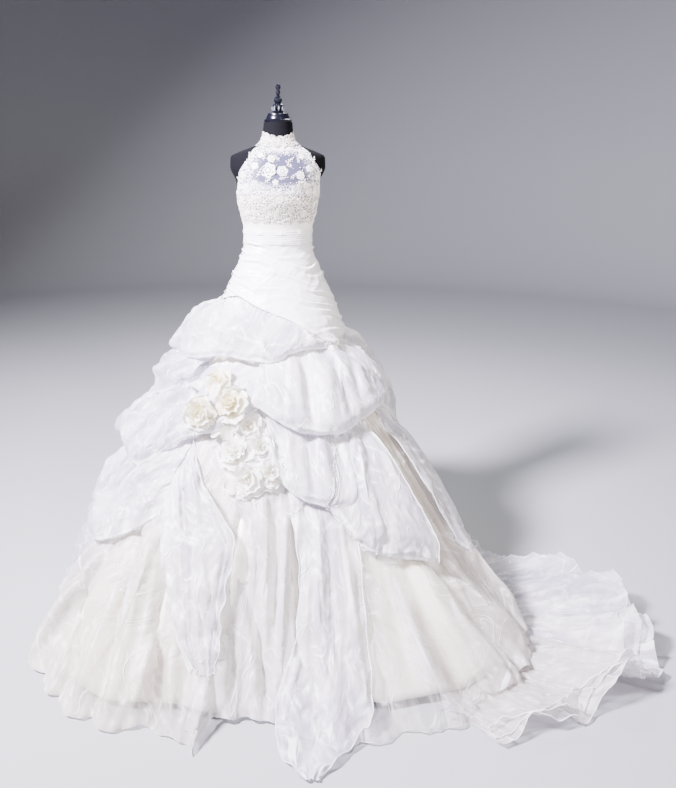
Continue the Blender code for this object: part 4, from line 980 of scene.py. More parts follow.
rightBackDrape = {
    "name": "rightBackDrape", "cells": (120, 90), "seed": 43,
    "stations": (
        (49.5, 620, -20, 530, 22, 370, 26, 296, 24), (54, 640, -20, 500, 42, 330, 50, 250, 30),
        (62, 640, -20, 500, 36, 280, 42, 200, 24), (80, 640, -20, 480, 14, 250, 12, 160, 4),
        (104, 640, -20, 480, 18, 260, 22, 175, 12), (136, 620, -20, 500, 20, 320, 40, 260, 20),
    ),
    "broad": (
        (47, 565, 47, 300, 2, 17, 13), (56, 544, 53, 334, 3, 17, -16), (66, 550, 64, 260, 3, 22, 16),
        (78, 560, 78, 220, 3, 19, -16), (92, 560, 92, 220, 3, 24, 16), (106, 550, 108, 220, 3, 22, -16),
        (120, 540, 122, 280, 3, 22, 13),
    ),
    "folds": (5, 0.009, 0.6, 0.2, 0.6),
    "creases": (
        (65, 643, 45, 309, 8, 10, 9), (75, 555, 49, 396, 6, 10, 8), (74, 460, 51, 297, 6, 9, 8),
        (84, 600, 70, 220, 6, 12, 9), (100, 580, 92, 220, 6, 12, 9), (116, 560, 110, 240, 5, 12, 8),
    ),
    "crumple": 0.68, "coarse": 0.09, "scratches": 200, "rolled": ("left",), "cover": (0.74, 0.52),
    "flat": (1.05, 0.60), "area": 0.50,
}
rightDrape = {
    "name": "rightDrape", "cells": (110, 96), "seed": 44,
    "stations": (
        (9, 478, -20, 470, 15, 462, 22, 455, 18), (14, 560, -20, 500, 35, 440, 50, 410, 25),
        (20, 650, -20, 560, 46, 420, 74, 350, 36), (27, 680, -20, 560, 56, 400, 86, 325, 42),
        (33, 672, -20, 555, 60, 385, 94, 312, 52), (36, 662, -20, 555, 60, 370, 98, 300, 62),
    ),
    "broad": (
        (33, 655, 22, 396, 5, 13, 34), (26, 646, 17, 470, 4, 13, -30), (30, 600, 27, 330, 4, 14, -26),
        (34, 560, 34, 320, 3, 11, 20), (11, 458, 21, 360, 2, 10, 20),
    ),
    "folds": (3.0, 0.006, 0.6, 0.5, 0.2),
    "creases": (
        (27, 615, 20, 386, 6, 7, 8), (34, 641, 26, 354, 7, 8, 9), (29, 452, 31, 342, 2, 6, 6),
        (26, 579, 21, 464, 3, 7, 6), (22, 463, 20, 362, 2, 6, 6), (31, 434, 34, 326, 2, 6, 6),
        (17, 368, 21, 339, 1, 6, 5), (12, 462, 18, 379, 3, 7, 6), (21, 339, 30, 345, 3, 6, 5),
        (30, 345, 36, 310, 3, 6, 5), (36, 600, 34, 360, 3, 8, 7),
    ),
    "crumple": 0.68, "coarse": 0.08, "scratches": 250, "grain": 60, "tuck": 0.014, "rolled": ("right",),
    "cover": (0.76, 0.56), "flat": (0.46, 0.50), "area": 0.15,
}
backBustleLower = {
    "name": "backBustleLower", "cells": (150, 62), "seed": 45,
    "stations": (
        (100, 640, -20, 560, 30, 430, 45, 370, 20), (150, 660, -20, 540, 65, 380, 95, 310, 35),
        (195, 660, -20, 540, 70, 380, 100, 310, 40), (240, 640, -20, 550, 50, 420, 60, 360, 25),
    ),
    "broad": (
        (112, 600, 110, 400, 3, 18, 22), (124, 600, 122, 380, 3, 16, -25), (138, 610, 137, 360, 3, 20, 28),
        (152, 610, 152, 350, 3, 16, -28), (166, 620, 167, 350, 3, 20, 28), (180, 620, 181, 350, 3, 16, -28),
        (194, 620, 195, 350, 3, 20, 28), (208, 610, 210, 360, 3, 16, -25), (224, 600, 227, 380, 3, 18, 25),
    ),
    "folds": (7.5, 0.012, 0.6, 0.2, 0.1), "loose": 12, "crumple": 0.88, "coarse": 0.11, "scratches": 200,
    "cover": (0.86, 0.66), "flat": (1.45, 0.52), "area": 0.62,
}
leftSwagLower = {
    "name": "leftSwagLower", "cells": (190, 76), "seed": 46,
    "stations": (
        (-128, 720, -20, 630, 70, 550, 105, 500, 73), (-99, 740, -20, 620, 78, 540, 156, 500, 109),
        (-80, 760, -20, 630, 75, 530, 110, 480, 77), (-63, 780, -20, 660, 60, 550, 88, 505, 62),
        (-46, 800, -20, 710, 50, 645, 74, 610, 52), (-32, 800, -20, 730, 40, 670, 62, 640, 43),
        (-20, 790, -20, 740, 35, 700, 52, 680, 36), (-12, 780, -20, 755, 20, 735, 28, 720, 20),
    ),
    "broad": (
        (-39, 719, -54, 578, 5, 14, 27), (-49, 743, -73, 615, 6, 16, 27), (-53, 703, -90, 512, 7, 17, -39),
        (-27, 727, -46, 656, 4, 12, 24), (-34, 681, -57, 598, 4, 12, -24), (-76, 616, -94, 520, 4, 17, 34),
        (-54, 640, -58, 563, 2, 11, -20), (-104, 660, -106, 540, 3, 19, -32),
        (-116, 660, -118, 540, 3, 19, 32),
    ),
    "folds": (5.4, 0.008, 0.6, 0.6, 0.7),
    "creases": (
        (-95, 506, -62, 658, 8, 10, 8), (-96, 483, -64, 613, 6, 9, -7), (-80, 505, -62, 605, 5, 8, 7),
        (-63, 534, -58, 588, 2, 7, 6), (-56, 546, -55, 605, 2, 7, 6), (-96, 566, -54, 635, 8, 9, -7),
        (-77, 636, -48, 637, 5, 9, 7), (-68, 676, -56, 719, 3, 8, 6), (-96, 510, -61, 553, 6, 8, 7),
        (-55, 645, -41, 769, 4, 8, 7), (-51, 633, -37, 733, 4, 8, -7), (-67, 621, -38, 657, 6, 8, 7),
        (-110, 600, -108, 520, 3, 10, 7),
    ),
    "crumple": 0.8, "coarse": 0.10, "scratches": 220, "grain": 40, "tuck": 0.014, "cover": (0.72, 0.48),
    "flat": (1.20, 0.46), "area": 0.38,
}
backBustleUpper = {
    "name": "backBustleUpper", "cells": (160, 62), "seed": 47,
    "stations": (
        (60, 840, -20, 780, 20, 700, 30, 660, 15), (80, 860, -20, 760, 36, 635, 55, 550, 18),
        (106, 880, -20, 780, 55, 650, 80, 570, 35), (150, 880, -20, 790, 70, 660, 100, 580, 40),
        (185, 880, -20, 790, 75, 670, 105, 590, 40), (216, 880, -20, 810, 50, 720, 70, 660, 30),
    ),
    "broad": (
        (72, 800, 70, 640, 3, 14, 20), (84, 810, 84, 600, 3, 14, -25), (98, 820, 98, 600, 3, 18, 25),
        (112, 830, 112, 600, 3, 16, -28), (128, 840, 128, 610, 3, 18, 28), (144, 840, 144, 610, 3, 16, -28),
        (160, 840, 161, 620, 3, 18, 28), (176, 840, 177, 620, 3, 16, -28), (192, 840, 194, 640, 3, 18, 25),
        (206, 840, 208, 680, 3, 14, -20),
    ),
    "folds": (8.5, 0.012, 0.6, -0.2, 0.3), "loose": 14, "crumple": 0.88, "coarse": 0.10, "scratches": 260,
    "cover": (0.86, 0.66), "flat": (1.15, 0.45),
}
leftSwagUpper = {
    "name": "leftSwagUpper", "cells": (110, 52), "seed": 48,
    "stations": (
        (-150, 830, -20, 780, 60, 720, 85, 650, 59), (-120, 830, -20, 785, 75, 730, 108, 640, 76),
        (-98, 830, -20, 790, 80, 737, 120, 640, 84), (-78, 820, -20, 775, 55, 725, 70, 685, 49),
        (-62, 800, -20, 780, 30, 755, 40, 740, 30),
    ),
    "broad": (
        (-96, 712, -64, 755, 4, 14, 29), (-96, 740, -66, 795, 4, 12, -29), (-82, 713, -66, 745, 2, 12, 18),
        (-112, 770, -114, 670, 3, 19, -29), (-128, 770, -130, 680, 3, 19, 29),
    ),
    "folds": (4, 0.007, 0.6, 0.4, 0.2),
    "creases": (
        (-96, 719, -62, 800, 6, 9, 8), (-97, 746, -63, 790, 5, 8, -7), (-79, 783, -63, 770, 3, 8, 6),
        (-97, 774, -64, 810, 5, 8, 7), (-96, 799, -70, 805, 3, 8, -6), (-120, 760, -118, 680, 3, 10, 7),
    ),
    "tuck": 0.014, "crumple": 0.83, "coarse": 0.08, "scratches": 250, "grain": 30, "cover": (0.72, 0.48),
    "flat": (0.62, 0.30),
}
rightPouf = {
    "name": "rightPouf", "cells": (150, 70), "seed": 49,
    "stations": (
        (-20, 840, -20, 790, 22, 740, 34, 710, 25), (-8, 850, -20, 780, 50, 705, 70, 672, 49),
        (8, 860, -20, 770, 55, 672, 80, 635, 56), (21, 860, -20, 770, 55, 670, 78, 632, 55),
        (33, 855, -20, 770, 50, 690, 74, 655, 52), (50, 850, -20, 770, 46, 700, 66, 672, 46),
        (66, 840, -20, 765, 44, 705, 54, 680, 38), (78, 830, -20, 780, 20, 740, 25, 715, 17),
    ),
    "broad": (
        (6, 806, 3, 661, 2, 20, 13), (12.5, 813, 8, 668, 2, 15, -16), (23, 790, 15, 657, 3, 21, 13),
        (-15, 820, -11, 705, 3, 16, -12), (-4, 807, -5, 671, 2, 16, 10), (35, 826, 50, 745, 5, 20, 12),
        (42, 830, 60, 750, 5, 16, -12), (32, 801, 26, 691, 3, 15, -13), (46, 778, 39, 713, 3, 16, 10),
        (62, 800, 64, 700, 2, 22, 10),
    ),
    "folds": (7.5, 0.0064, 0.5, 0.1, 0.5), "crisp": 0.35,
    "creases": (
        (1, 811, -2, 670, 3, 11, 9), (11, 827, 8, 668, 3, 10, -9), (20, 805, 16, 664, 3, 12, 8),
        (-2, 825, -4, 721, 2, 9, -7), (-12, 760, -16, 811, 2, 9, 6), (37, 834, 55, 752, 5, 9, 8),
        (36, 824, 35, 753, 2, 8, 7), (39, 833, 43, 728, 3, 9, 7), (35, 794, 20, 652, 5, 9, 7),
        (3, 659, 18, 643, 3, 8, 6), (43, 787, 34, 701, 3, 9, -7),
    ),
    "crumple": 0.52, "coarse": 0.09, "scratches": 200, "tuck": 0.014, "cover": (0.76, 0.60),
    "flat": (0.95, 0.36), "area": 0.21,
}
hipSwag = {
    "name": "hipSwag", "cells": (210, 50), "seed": 50,
    "stations": (
        (-142, 960, -20, 900, 45, 840, 75, 800, 50), (-120, 970, -20, 900, 65, 830, 105, 800, 70),
        (-98, 975, -20, 900, 75, 822, 118, 795, 90), (-80, 985, -20, 900, 60, 815, 90, 790, 65),
        (-66, 985, -20, 900, 42, 820, 65, 800, 50), (-45, 975, -20, 900, 30, 840, 44, 820, 32),
        (-14, 950, -20, 890, 26, 835, 38, 812, 26), (10, 930, -20, 890, 18, 855, 28, 842, 20),
        (30, 900, -20, 875, 14, 850, 22, 838, 16), (48, 875, -20, 860, 10, 845, 14, 836, 10),
    ),
    "broad": (
        (-61, 889, -19, 865, 8, 14, 16), (-56, 857, -16, 825, 6, 12, -21), (-84, 962, -63, 888, 3, 10, -17),
        (6, 920, 27, 886, 3, 11, 10), (-97, 809, -66, 872, 5, 17, 27), (-95, 840, -75, 926, 4, 12, -23),
        (6, 860, 38, 855, 3, 10, 8), (-112, 930, -114, 830, 3, 19, 23), (-126, 930, -130, 830, 3, 17, -23),
    ),
    "folds": (7, 0.0072, 0.6, 0.5, 0.1), "crisp": 0.4,
    "creases": (
        (-65, 905, -19, 860, 8, 9, 8), (-19, 860, -9, 815, 3, 8, 7), (-82, 964, -64, 906, 4, 6, -6),
        (-98, 797, -77, 870, 4, 9, 8), (-97, 822, -84, 878, 3, 8, -6), (-19, 874, -16, 820, 2, 8, 6),
        (3, 913, 42, 870, 5, 7, 5), (7, 893, 40, 858, 5, 7, -5), (2, 861, 10, 887, 2, 6, 4),
        (15, 900, 23, 854, 2, 6, 5), (-45, 960, -1, 920, 6, 8, 6), (-61, 939, -20, 916, 6, 8, -5),
        (-112, 900, -118, 820, 3, 10, 8), (-130, 920, -134, 830, 3, 10, 7),
    ),
    "crumple": 0.56, "coarse": 0.08, "scratches": 220, "grain": 20, "tuck": 0.014, "cover": (0.72, 0.54),
    "flat": (0.98, 0.26),
}
drapes = (
    liningFront, liningBack, overlayLeft, overlayFront, overlayRight, overlayBack, frontCascade, leftCascade,
    leftLowPouf, centrePouch, rightBackDrape, rightDrape, backBustleLower, leftSwagLower, backBustleUpper,
    leftSwagUpper, rightPouf, hipSwag,
)
for drape in drapes:
    if "loose" in drape:
        drape["creases"] = looseCreases(drape["stations"], drape["seed"], drape["loose"])
    hangCloth(drape)
print("skirt hung")

# fitted satin: hip, waistband
hipFront = {
    "name": "hipFront", "cells": (130, 120), "seed": 61,
    "stations": (
        (-89.7, 1165, -10, 1100, 0, 1030, 1, 960, 1), (-60, 1165, -10, 1100, 1, 1040, 2, 985, 2),
        (-30, 1165, -10, 1090, 1, 1020, 2, 958, 2), (10, 1165, -10, 1070, 1, 980, 2, 915, 2),
        (42, 1165, -10, 1060, 1, 940, 2, 850, 2), (89.7, 1165, -10, 1060, 0, 940, 1, 855, 2),
    ),
    # slope: how much a fold falls, in metres per radian
    "slope": 0.085, "pitch": 23 * mm, "fold": 5.0 * mm, "flat": (0.46, 0.38),
}
hipBack = {
    "name": "hipBack", "cells": (90, 80), "seed": 62,
    "stations": (
        (90.3, 1165, -10, 1060, 0, 940, 1, 855, 2), (180, 1165, -10, 1070, 1, 960, 3, 870, 3),
        (269.7, 1165, -10, 1090, 0, 1020, 1, 950, 1),
    ),
    "slope": -0.030, "pitch": 22 * mm, "fold": 4.4 * mm, "flat": (0.50, 0.40),
}


def ruched(piece):
    # cloth gathered at the side seams: uneven folds that fall across the body and die out
    across, down, angle, height, out = clothForm(piece)
    seed = piece["seed"]
    points = layOver(onBody(angle, gownRadius(angle, height) + out, height), 0.0012)
    u, v = clothLengths(points)
    level = height + piece["slope"] * (0.10 + 1.5 * (1.165 - height)) * angle
    wander = 0.42 * np.sin(2.3 * angle + 31 * level + seed)
    wander += 0.16 * np.sin(6.1 * angle - 19 * level + seed)
    phase = level / piece["pitch"] + wander
    depth = np.clip(0.35 + 0.65 * np.sin(2.6 * angle + 2.3 * np.floor(phase) + seed), 0.05, 1)
    depth *= 0.30 + 0.70 * np.abs(np.sin(angle)) ** 1.4
    part = phase % 1.0
    fold = (2 * np.where(part < 0.7, part / 0.7, (1 - part) / 0.3) ** 1.5 - 0.9) * depth
    second = 0.40 * (1 - 2 * np.abs(np.sin(np.pi * (2.3 * phase + 1.1 * angle)))) + 0.1
    strewn, line = scratches(u, v, seed, 1500, -14)
    rise = piece["fold"] * (fold + 0.5 * second * depth) + 1.2 * strewn
    rise *= np.clip(v / 0.01, 0, 1)
    points = points + gridNormals(points) * rise[..., None]
    angle, radius = polar(points)
    points = onBody(angle, np.maximum(radius, pile.at(angle, points[..., 2]) + 0.0006), points[..., 2])
    stampCloth(points)
    mesh, faces = thickened(points, gridFaces(points), satinWall)
    uv = np.tile(np.stack([u, v], axis=-1).reshape(-1, 2), (2, 1))
    crease = np.tile(np.clip(line, 0, 1).ravel(), 2)
    meshObject(piece["name"], mesh, faces, [whiteSatin], {"crease": crease}, uv)


def smoothedRing(radius, times):
    # no point lies further in than the mean of its neighbours round the ring
    for blur in range(times):
        radius = np.maximum(radius, (np.roll(radius, 1, 1) + np.roll(radius, -1, 1)) / 2)
    return radius


def ringMesh(name, points, wall, material):
    # a band that runs all the way round, closed behind itself
    rows, columns = points.shape[:2]
    wrapped = np.concatenate([points[:, -1:], points, points[:, :1]], axis=1)
    inner = points - wall * gridNormals(wrapped)[:, 1:-1]
    count = rows * columns
    ids = np.arange(count).reshape(rows, columns)
    after = np.roll(ids, -1, axis=1)
    outer = np.stack([ids[:-1], ids[1:], after[1:], after[:-1]], axis=-1).reshape(-1, 4)
    top = np.stack([ids[0], after[0], after[0] + count, ids[0] + count], axis=-1)
    foot = np.stack([ids[-1] + count, after[-1] + count, after[-1], ids[-1]], axis=-1)
    faces = np.concatenate([outer, outer[:, ::-1] + count, top, foot])
    uv = np.stack([lengthsAlong(points, 1), lengthsAlong(points, 0)], axis=-1).reshape(-1, 2)
    flat = np.concatenate([points.reshape(-1, 3), inner.reshape(-1, 3)])
    meshObject(name, flat, faces, [material], None, np.tile(uv, (2, 1)))
    stampCloth(wrapped[:, 1:])


ruched(hipFront)
ruched(hipBack)

# The waistband: satin laid in narrow pleats round the body.
band = {"top": 1.1925, "foot": 1.149, "pleat": 7.2 * mm, "rise": 1.5 * mm, "flat": (0.67, 0.060)}
bandAngle, bandHeight = np.meshgrid(
    np.linspace(0, 2 * np.pi, 150, endpoint=False), np.linspace(band["top"], band["foot"], 42)
)
bandRadius = np.maximum(gownRadius(bandAngle, bandHeight) - 0.010, pile.at(bandAngle, bandHeight) + 1 * mm)
bandRadius = smoothedRing(bandRadius, 6)
bandLevel = (band["top"] - bandHeight) / band["pleat"]
bandLevel = bandLevel + 0.10 * np.sin(3 * bandAngle) + 0.06 * np.sin(11 * bandAngle)
bandRadius = bandRadius.max(axis=0)[None, :] * 0.35 + bandRadius * 0.65
bandRadius += band["rise"] * (1 - (bandLevel % 1)) ** 0.6
ringMesh("pleatedBand", onBody(bandAngle, bandRadius, bandHeight), satinWall, whiteSatin)
print("hip and waistband made")

# the train: sheer flounces spread on the floor
floorPile = HeightMap(-0.95, 1.25, 0.004, -1.1, 1.15, 0.004, False)
trainLine = (
    # angle, outer radius, lift of the edge
    (27, 0.965, 0.016), (35, 1.020, 0.022), (44, 1.090, 0.028), (51, 1.170, 0.032), (58, 1.175, 0.034),
    (66, 1.140, 0.044), (72, 1.060, 0.080), (77, 0.940, 0.070), (83, 0.800, 0.040), (90, 0.745, 0.030),
    (104, 0.750, 0.030), (130, 0.830, 0.036), (170, 0.930, 0.034), (200, 0.900, 0.030), (224, 0.780, 0.020),
)
trainLayers = (
    {"name": "trainUnder", "reach": 1.0, "ripple": 0.04, "seed": 71, "lift": 1.2,
     "cover": (0.55, 0.50), "flat": (3.6, 0.45), "area": 0.88},
    {"name": "trainMiddle", "reach": 0.93, "ripple": 0.055, "seed": 72, "lift": 1.7,
     "cover": (0.36, 0.34), "flat": (3.4, 0.40), "area": 0.82},
    {"name": "trainTop", "reach": 0.84, "ripple": 0.07, "seed": 73, "lift": 2.1,
     "cover": (0.26, 0.34), "flat": (3.2, 0.36), "area": 0.75},
)


def layTrain(layer):
    columns, rows, seed = 420, 38, layer["seed"]
    down, across = np.meshgrid(np.linspace(0, 1, rows + 1), np.linspace(0, 1, columns + 1), indexing="ij")
    angles, outers, lifts = np.array(trainLine, float).T
    angle = np.radians(angles[0] + (angles[-1] - angles[0]) * across)
    outer = smoothCurve(np.degrees(angle), angles, outers)
    lift = smoothCurve(np.degrees(angle), angles, lifts) * layer["lift"]
    hem = gownRadius(angle, 0.02 + 0 * angle)
    turn = 2 * np.pi * across
    ragged = 1 + layer["ripple"] * np.sin(11 * turn + 2.5 * np.sin(1.4 * turn) + seed)
    ragged += 0.9 * layer["ripple"] * (np.abs(np.sin(14 * turn + 1.5 * np.sin(3.1 * turn + seed))) - 0.6)
    reach = hem + (outer - hem) * layer["reach"] * ragged
    radius = hem - 0.012 + (reach - hem + 0.012) * down
    broad = 0.5 + 0.5 * np.cos(11 * turn + 3.0 * np.sin(1.3 * turn) + 2.2 * down + 0.8 * seed)
    rise = lift * down**1.3 * (0.15 + 0.85 * broad)
    arc = (angle - angle[:, :1]) * 0.95
    wander = 1.1 * np.sin(5 * turn + seed) + 0.5 * np.sin(13 * turn + 2 * down + seed)
    first = 1 - 2 * np.abs(np.sin(np.pi * (arc / 0.046 + wander + 0.7 * down))) ** 0.8
    second = 1 - 2 * np.abs(np.sin(np.pi * (arc / 0.021 - wander + 1.6 * down**2)))
    here = 0.5 + 0.5 * np.sin(3.3 * turn + 4.0 * down + seed)
    deep = 0.5 + 0.5 * np.cos(19 * turn + 2.6 * np.sin(2.3 * turn + seed) + 1.1 * down)
    rise += 0.058 * deep**2 * down**1.1
    loops = np.abs(np.sin(23 * turn + 1.3 * np.sin(5 * turn + seed))) ** 0.8 - 0.45
    rise += 0.018 * loops * down**5
    small = 0.0085 * first * (0.4 + 0.6 * here) + 0.0030 * second * (1 - 0.6 * here)
    rise += small * np.clip(down * 4, 0, 1)
    knife = (arc / 0.135 + 0.30 * np.sin(3 * turn + seed) + 0.22 * down + 0.37 * seed) % 1.0
    rise += 0.015 * (knife - 0.4) * np.clip(down * 2.5, 0, 1)
    # where the train is narrow its folds are small
    room = np.clip((reach - hem) / 0.28, 0.10, 1) ** 1.5
    rise *= room
    u, v = arc, (reach - hem) * down
    strewn, line = scratches(u, v, seed, 420, 90)
    folded = crumple(u, v, seed + 1, 0.09)
    free = np.clip((radius - hem + 0.006) / 0.05, 0, 1)
    height = 0.0045 + np.clip(rise + folded * 0.8 * room, -0.002, 0.2) * free + strewn * 0.6 * room
    height += (0.020 - 0.020 * down) * (1 - free)
    curl = np.clip((down - 0.90) / 0.10, 0, 1) ** 2
    edge = np.sin(arc / 0.011 + 2.4 * np.sin(arc / 0.06 + seed))
    height += curl * (0.006 + 0.006 * edge + 0.010 * broad) * room
    radius += curl * 0.004 * np.cos(arc / 0.013 + seed) * room
    points = onBody(angle, radius, height)
    floor = floorPile.at(points[..., 0], points[..., 1]) + 0.0022
    points[..., 2] += spreadOut(np.clip(floor - points[..., 2], 0, None), 3)
    # the fold ridges and knife edges get white lines: painted highlights along them
    ridge = np.clip(first * here, 0, 1) ** 3 * 0.8 + np.clip(second * (1 - here), 0, 1) ** 4 * 0.4
    ridge = np.maximum(ridge, 0.9 * np.clip((knife - 0.93) / 0.05, 0, 1))
    line = np.maximum(line, ridge * np.clip(down * 3, 0, 1))
    high, low = layer["cover"]
    cover = high + (low - high) * down + 0.10 * np.sin(arc / 0.09 + seed) + 0.08 * here
    warm = 0.9 * np.exp(-(((np.degrees(angle) - 34) / 22) ** 2)) * (1 - 0.5 * down)
    layers = [np.clip(line, 0, 1), np.clip(cover, 0, 1), u, v, warm]
    dense = finer(points, 3)
    floorPile.stamp(dense[..., 0], dense[..., 1], dense[..., 2])
    points, layers = rollHem(points, layers, hemRoll)
    points[..., 2] = np.maximum(points[..., 2], 0.0012)
    faces = gridFaces(points)
    meshObject(layer["name"], points, faces, [organzaCloth],
               {"crease": layers[0], "cover": layers[1], "warm": layers[4]}, np.stack(layers[2:4], axis=-1))
    print(layer["name"], len(faces), "faces, width", round(float(arc.max()), 2))


for layer in trainLayers:
    layTrain(layer)

# lace bodice, yoke and collar


def makeLace(name, ground, ropes, cell, netCover):
    # machine lace on net: raised cords in small cells, with a fine speckle between them
    material, tree = emptyMaterial(name)
    uv = addNode(tree, "UVMap", uv_map="cloth")
    cover, plain = [addNode(tree, "Attribute", None, "Fac", attribute_name=k) for k in ("cover", "plain")]
    laid = addNode(tree, "Mapping", {"Vector": uv, "Scale": (1 / cell, 1 / cell, 1)})
    cells = addNode(tree, "TexVoronoi", {"Vector": laid, "Scale": 1.0}, feature="DISTANCE_TO_EDGE")
    laid = addNode(tree, "Mapping", {"Vector": uv, "Scale": (420, 420, 1)})
    dots = addNode(tree, "TexVoronoi", {"Vector": laid, "Scale": 1.0})
    cord, dot = [
        addNode(tree, "MapRange", {
            "Value": field, "From Min": low, "From Max": high, "To Min": 1.0, "To Max": 0.0,
        }) for field, low, high in ((cells, 0.05, 0.17), (dots, 0.15, 0.45))
    ]
    faint = addNode(tree, "Math", {0: dot, 1: 0.35}, operation="MULTIPLY")
    thread = addNode(tree, "Math", {0: cord, 1: faint}, operation="MAXIMUM")
    if netCover < 1:
        thread = addNode(tree, "Math", {0: thread, 1: cover}, operation="MULTIPLY")
    thread = addNode(tree, "Math", {0: thread, 1: plain}, operation="MAXIMUM")
    inputs = {"Factor": thread, "A": colour(ground), "B": colour(ropes)}
    face = addNode(tree, "BsdfPrincipled", {
        "Base Color": addNode(tree, "Mix", inputs, "Result", data_type="RGBA"),
        "Roughness": 0.55, "Sheen Weight": 0.2,
        "Normal": addNode(tree, "Bump", {"Height": thread, "Strength": 0.8, "Distance": 0.9 * mm}),
    })
    if netCover < 1:
        opacity = addNode(tree, "Clamp", {"Value": addNode(tree, "Math", {0: thread, 1: netCover})})
        face = addNode(tree, "MixShader", {0: opacity, 1: addNode(tree, "BsdfTransparent"), 2: face})
    addNode(tree, "OutputMaterial", {"Surface": face})
    return material


# the cords are 1 mm apart in real lace; 8 mm is the finest that shows from where the camera stands
laceCloth = makeLace("cordedLace", "#6f615b", "#fbf7f3", 8.0 * mm, 1)
netCloth = makeLace("illusionNet", "#6f6d95", "#fbf8fb", 8.0 * mm, 0.44)
laceThread = makePlain("laceCord", "#fffbf6", 0.45, grain=(0.8 * mm, 0.15 * mm))
pearl = makePlain("smallPearls", "#fff8ee", 0.18, coat=0.6, grain=(2 * mm, 0.02 * mm))

bodiceFront = {
    "name": "bodiceFront", "cells": (110, 56), "flat": (0.40, 0.18),
    "stations": (
        (-89.6, 1310, -20, 1270, -20, 1220, -20, 1180, -20),
        (-62, 1345, -20, 1290, -20, 1220, -20, 1180, -20), (-42, 1356, -20, 1290, -20, 1220, -20, 1180, -20),
        (-20, 1343, -20, 1290, -20, 1220, -20, 1180, -20), (0, 1322, -20, 1280, -20, 1220, -20, 1180, -20),
        (20, 1343, -20, 1290, -20, 1220, -20, 1180, -20), (42, 1356, -20, 1290, -20, 1220, -20, 1180, -20),
        (62, 1345, -20, 1290, -20, 1220, -20, 1180, -20), (89.6, 1310, -20, 1270, -20, 1220, -20, 1180, -20),
    ),
}
bodiceBack = {
    "name": "bodiceBack", "cells": (110, 36), "flat": (0.31, 0.11),
    "stations": (
        (90.4, 1310, -20, 1270, -20, 1220, -20, 1180, -20), (130, 1262, -20, 1230, -20, 1200, -20, 1180, -20),
        (180, 1240, -20, 1220, -20, 1200, -20, 1180, -20), (230, 1262, -20, 1230, -20, 1200, -20, 1180, -20),
        (269.6, 1310, -20, 1270, -20, 1220, -20, 1180, -20),
    ),
}
halterYoke = {
    "name": "halterYoke", "cells": (130, 66), "flat": (0.42, 0.17), "area": 0.052,
    "rows": (
        (1478, -66, 66, -20), (1458, -64, 64, -20), (1432, -58, 58, -20), (1410, -62, 62, -20),
        (1380, -69, 69, -20), (1350, -78, 78, -20), (1312, -87, 87, -20),
    ),
}


def fitted(piece, cloth, gap, wall, layer, worked):
    # a close fitting piece with no folds of its own
    across, down, angle, height, out = clothForm(piece)
    points = layOver(onBody(angle, gownRadius(angle, height) + out, height), gap)
    u, v = clothLengths(points)
    layers = {layer: np.tile(worked(angle, height).ravel(), 2 if wall else 1)}
    stampCloth(points)
    mesh, faces = points, gridFaces(points)
    uv = np.stack([u, v], axis=-1)
    if wall:
        mesh, faces = thickened(points, faces, wall)
        uv = np.tile(uv.reshape(-1, 2), (2, 1))
    meshObject(piece["name"], mesh, faces, [cloth], layers, uv)


def yokeWork(angle, height):
    # lace covers the borders of the yoke; between them the plain net shows
    middle = np.exp(-((angle / 0.86) ** 6)) * np.exp(-(((height - 1.393) / 0.053) ** 6))
    return np.clip(1.0 - 1.2 * middle, 0, 1)


def satinFoot(angle, height):
    # the lace ends in sprigs, and plain satin shows below them
    return np.clip((1.220 + 0.003 * np.sin(angle * 16) - height) / 0.003, 0, 1)


fitted(bodiceFront, laceCloth, 1.6 * mm, satinWall, "plain", satinFoot)
fitted(bodiceBack, laceCloth, 1.6 * mm, satinWall, "plain", satinFoot)
fitted(halterYoke, netCloth, 1.4 * mm, 0, "cover", yokeWork)

collar = {"foot": 1.462, "top": 1.494, "flat": (0.39, 0.045)}
collarTurns, collarDown = np.meshgrid(np.linspace(0, 2 * np.pi, 196, endpoint=False), np.linspace(0, 1, 14))
tips = collar["top"] + 0.016 * np.sin(collarTurns) ** 2 + 0.0055 * np.abs(np.cos(7 * collarTurns)) ** 0.7
collarFoot = collar["foot"] + 0.012 * np.sin(collarTurns) ** 2
collarHeight = tips * (1 - collarDown) + collarFoot * collarDown
collarRadius = np.maximum(
    gownRadius(collarTurns, collarHeight) - 0.012 + 0.004 * (1 - collarDown),
    pile.at(collarTurns, collarHeight) + 1 * mm,
)
ringMesh("standCollar", onBody(collarTurns, smoothedRing(collarRadius, 5), collarHeight), 0.7 * mm, laceCloth)


# Raised lace work: corded roses, leaves, daisies and pearls, each a small mesh repeated over the
# cloth by geometry nodes.
def ribbon(path, width, rise, closed=True):
    # a roof-shaped cord along a flat path
    path = np.asarray(path, float)
    ahead = np.roll(path, -1, 0) - np.roll(path, 1, 0) if closed else np.gradient(path, axis=0)
    side = np.stack([-ahead[:, 1], ahead[:, 0]], axis=1)
    side /= np.linalg.norm(side, axis=1, keepdims=True) + 1e-9
    rows = []
    for offset, level in ((-width / 2, 0.0), (0.0, rise), (width / 2, 0.0)):
        rows.append(np.concatenate([path + side * offset, np.full((len(path), 1), level)], axis=1))
    count = len(path)
    faces = []
    for k in range(count if closed else count - 1):
        n = (k + 1) % count
        faces += [(k, n, n + count, k + count), (k + count, n + count, n + 2 * count, k + 2 * count)]
    return np.concatenate(rows), faces


def domed(rows, top):
    # a rim, a raised row inside it and a point in the middle
    count = len(rows[0])
    faces = []
    for k in range(count):
        n = (k + 1) % count
        faces += [(k, n, n + count, k + count), (k + count, n + count, 2 * count)]
    return np.concatenate([*rows, [top]]), faces


def joined(parts):
    points, faces, start = [], [], 0
    for partPoints, partFaces in parts:
        points.append(partPoints)
        faces += [tuple(start + k for k in face) for face in partFaces]
        start += len(partPoints)
    return np.concatenate(points), faces


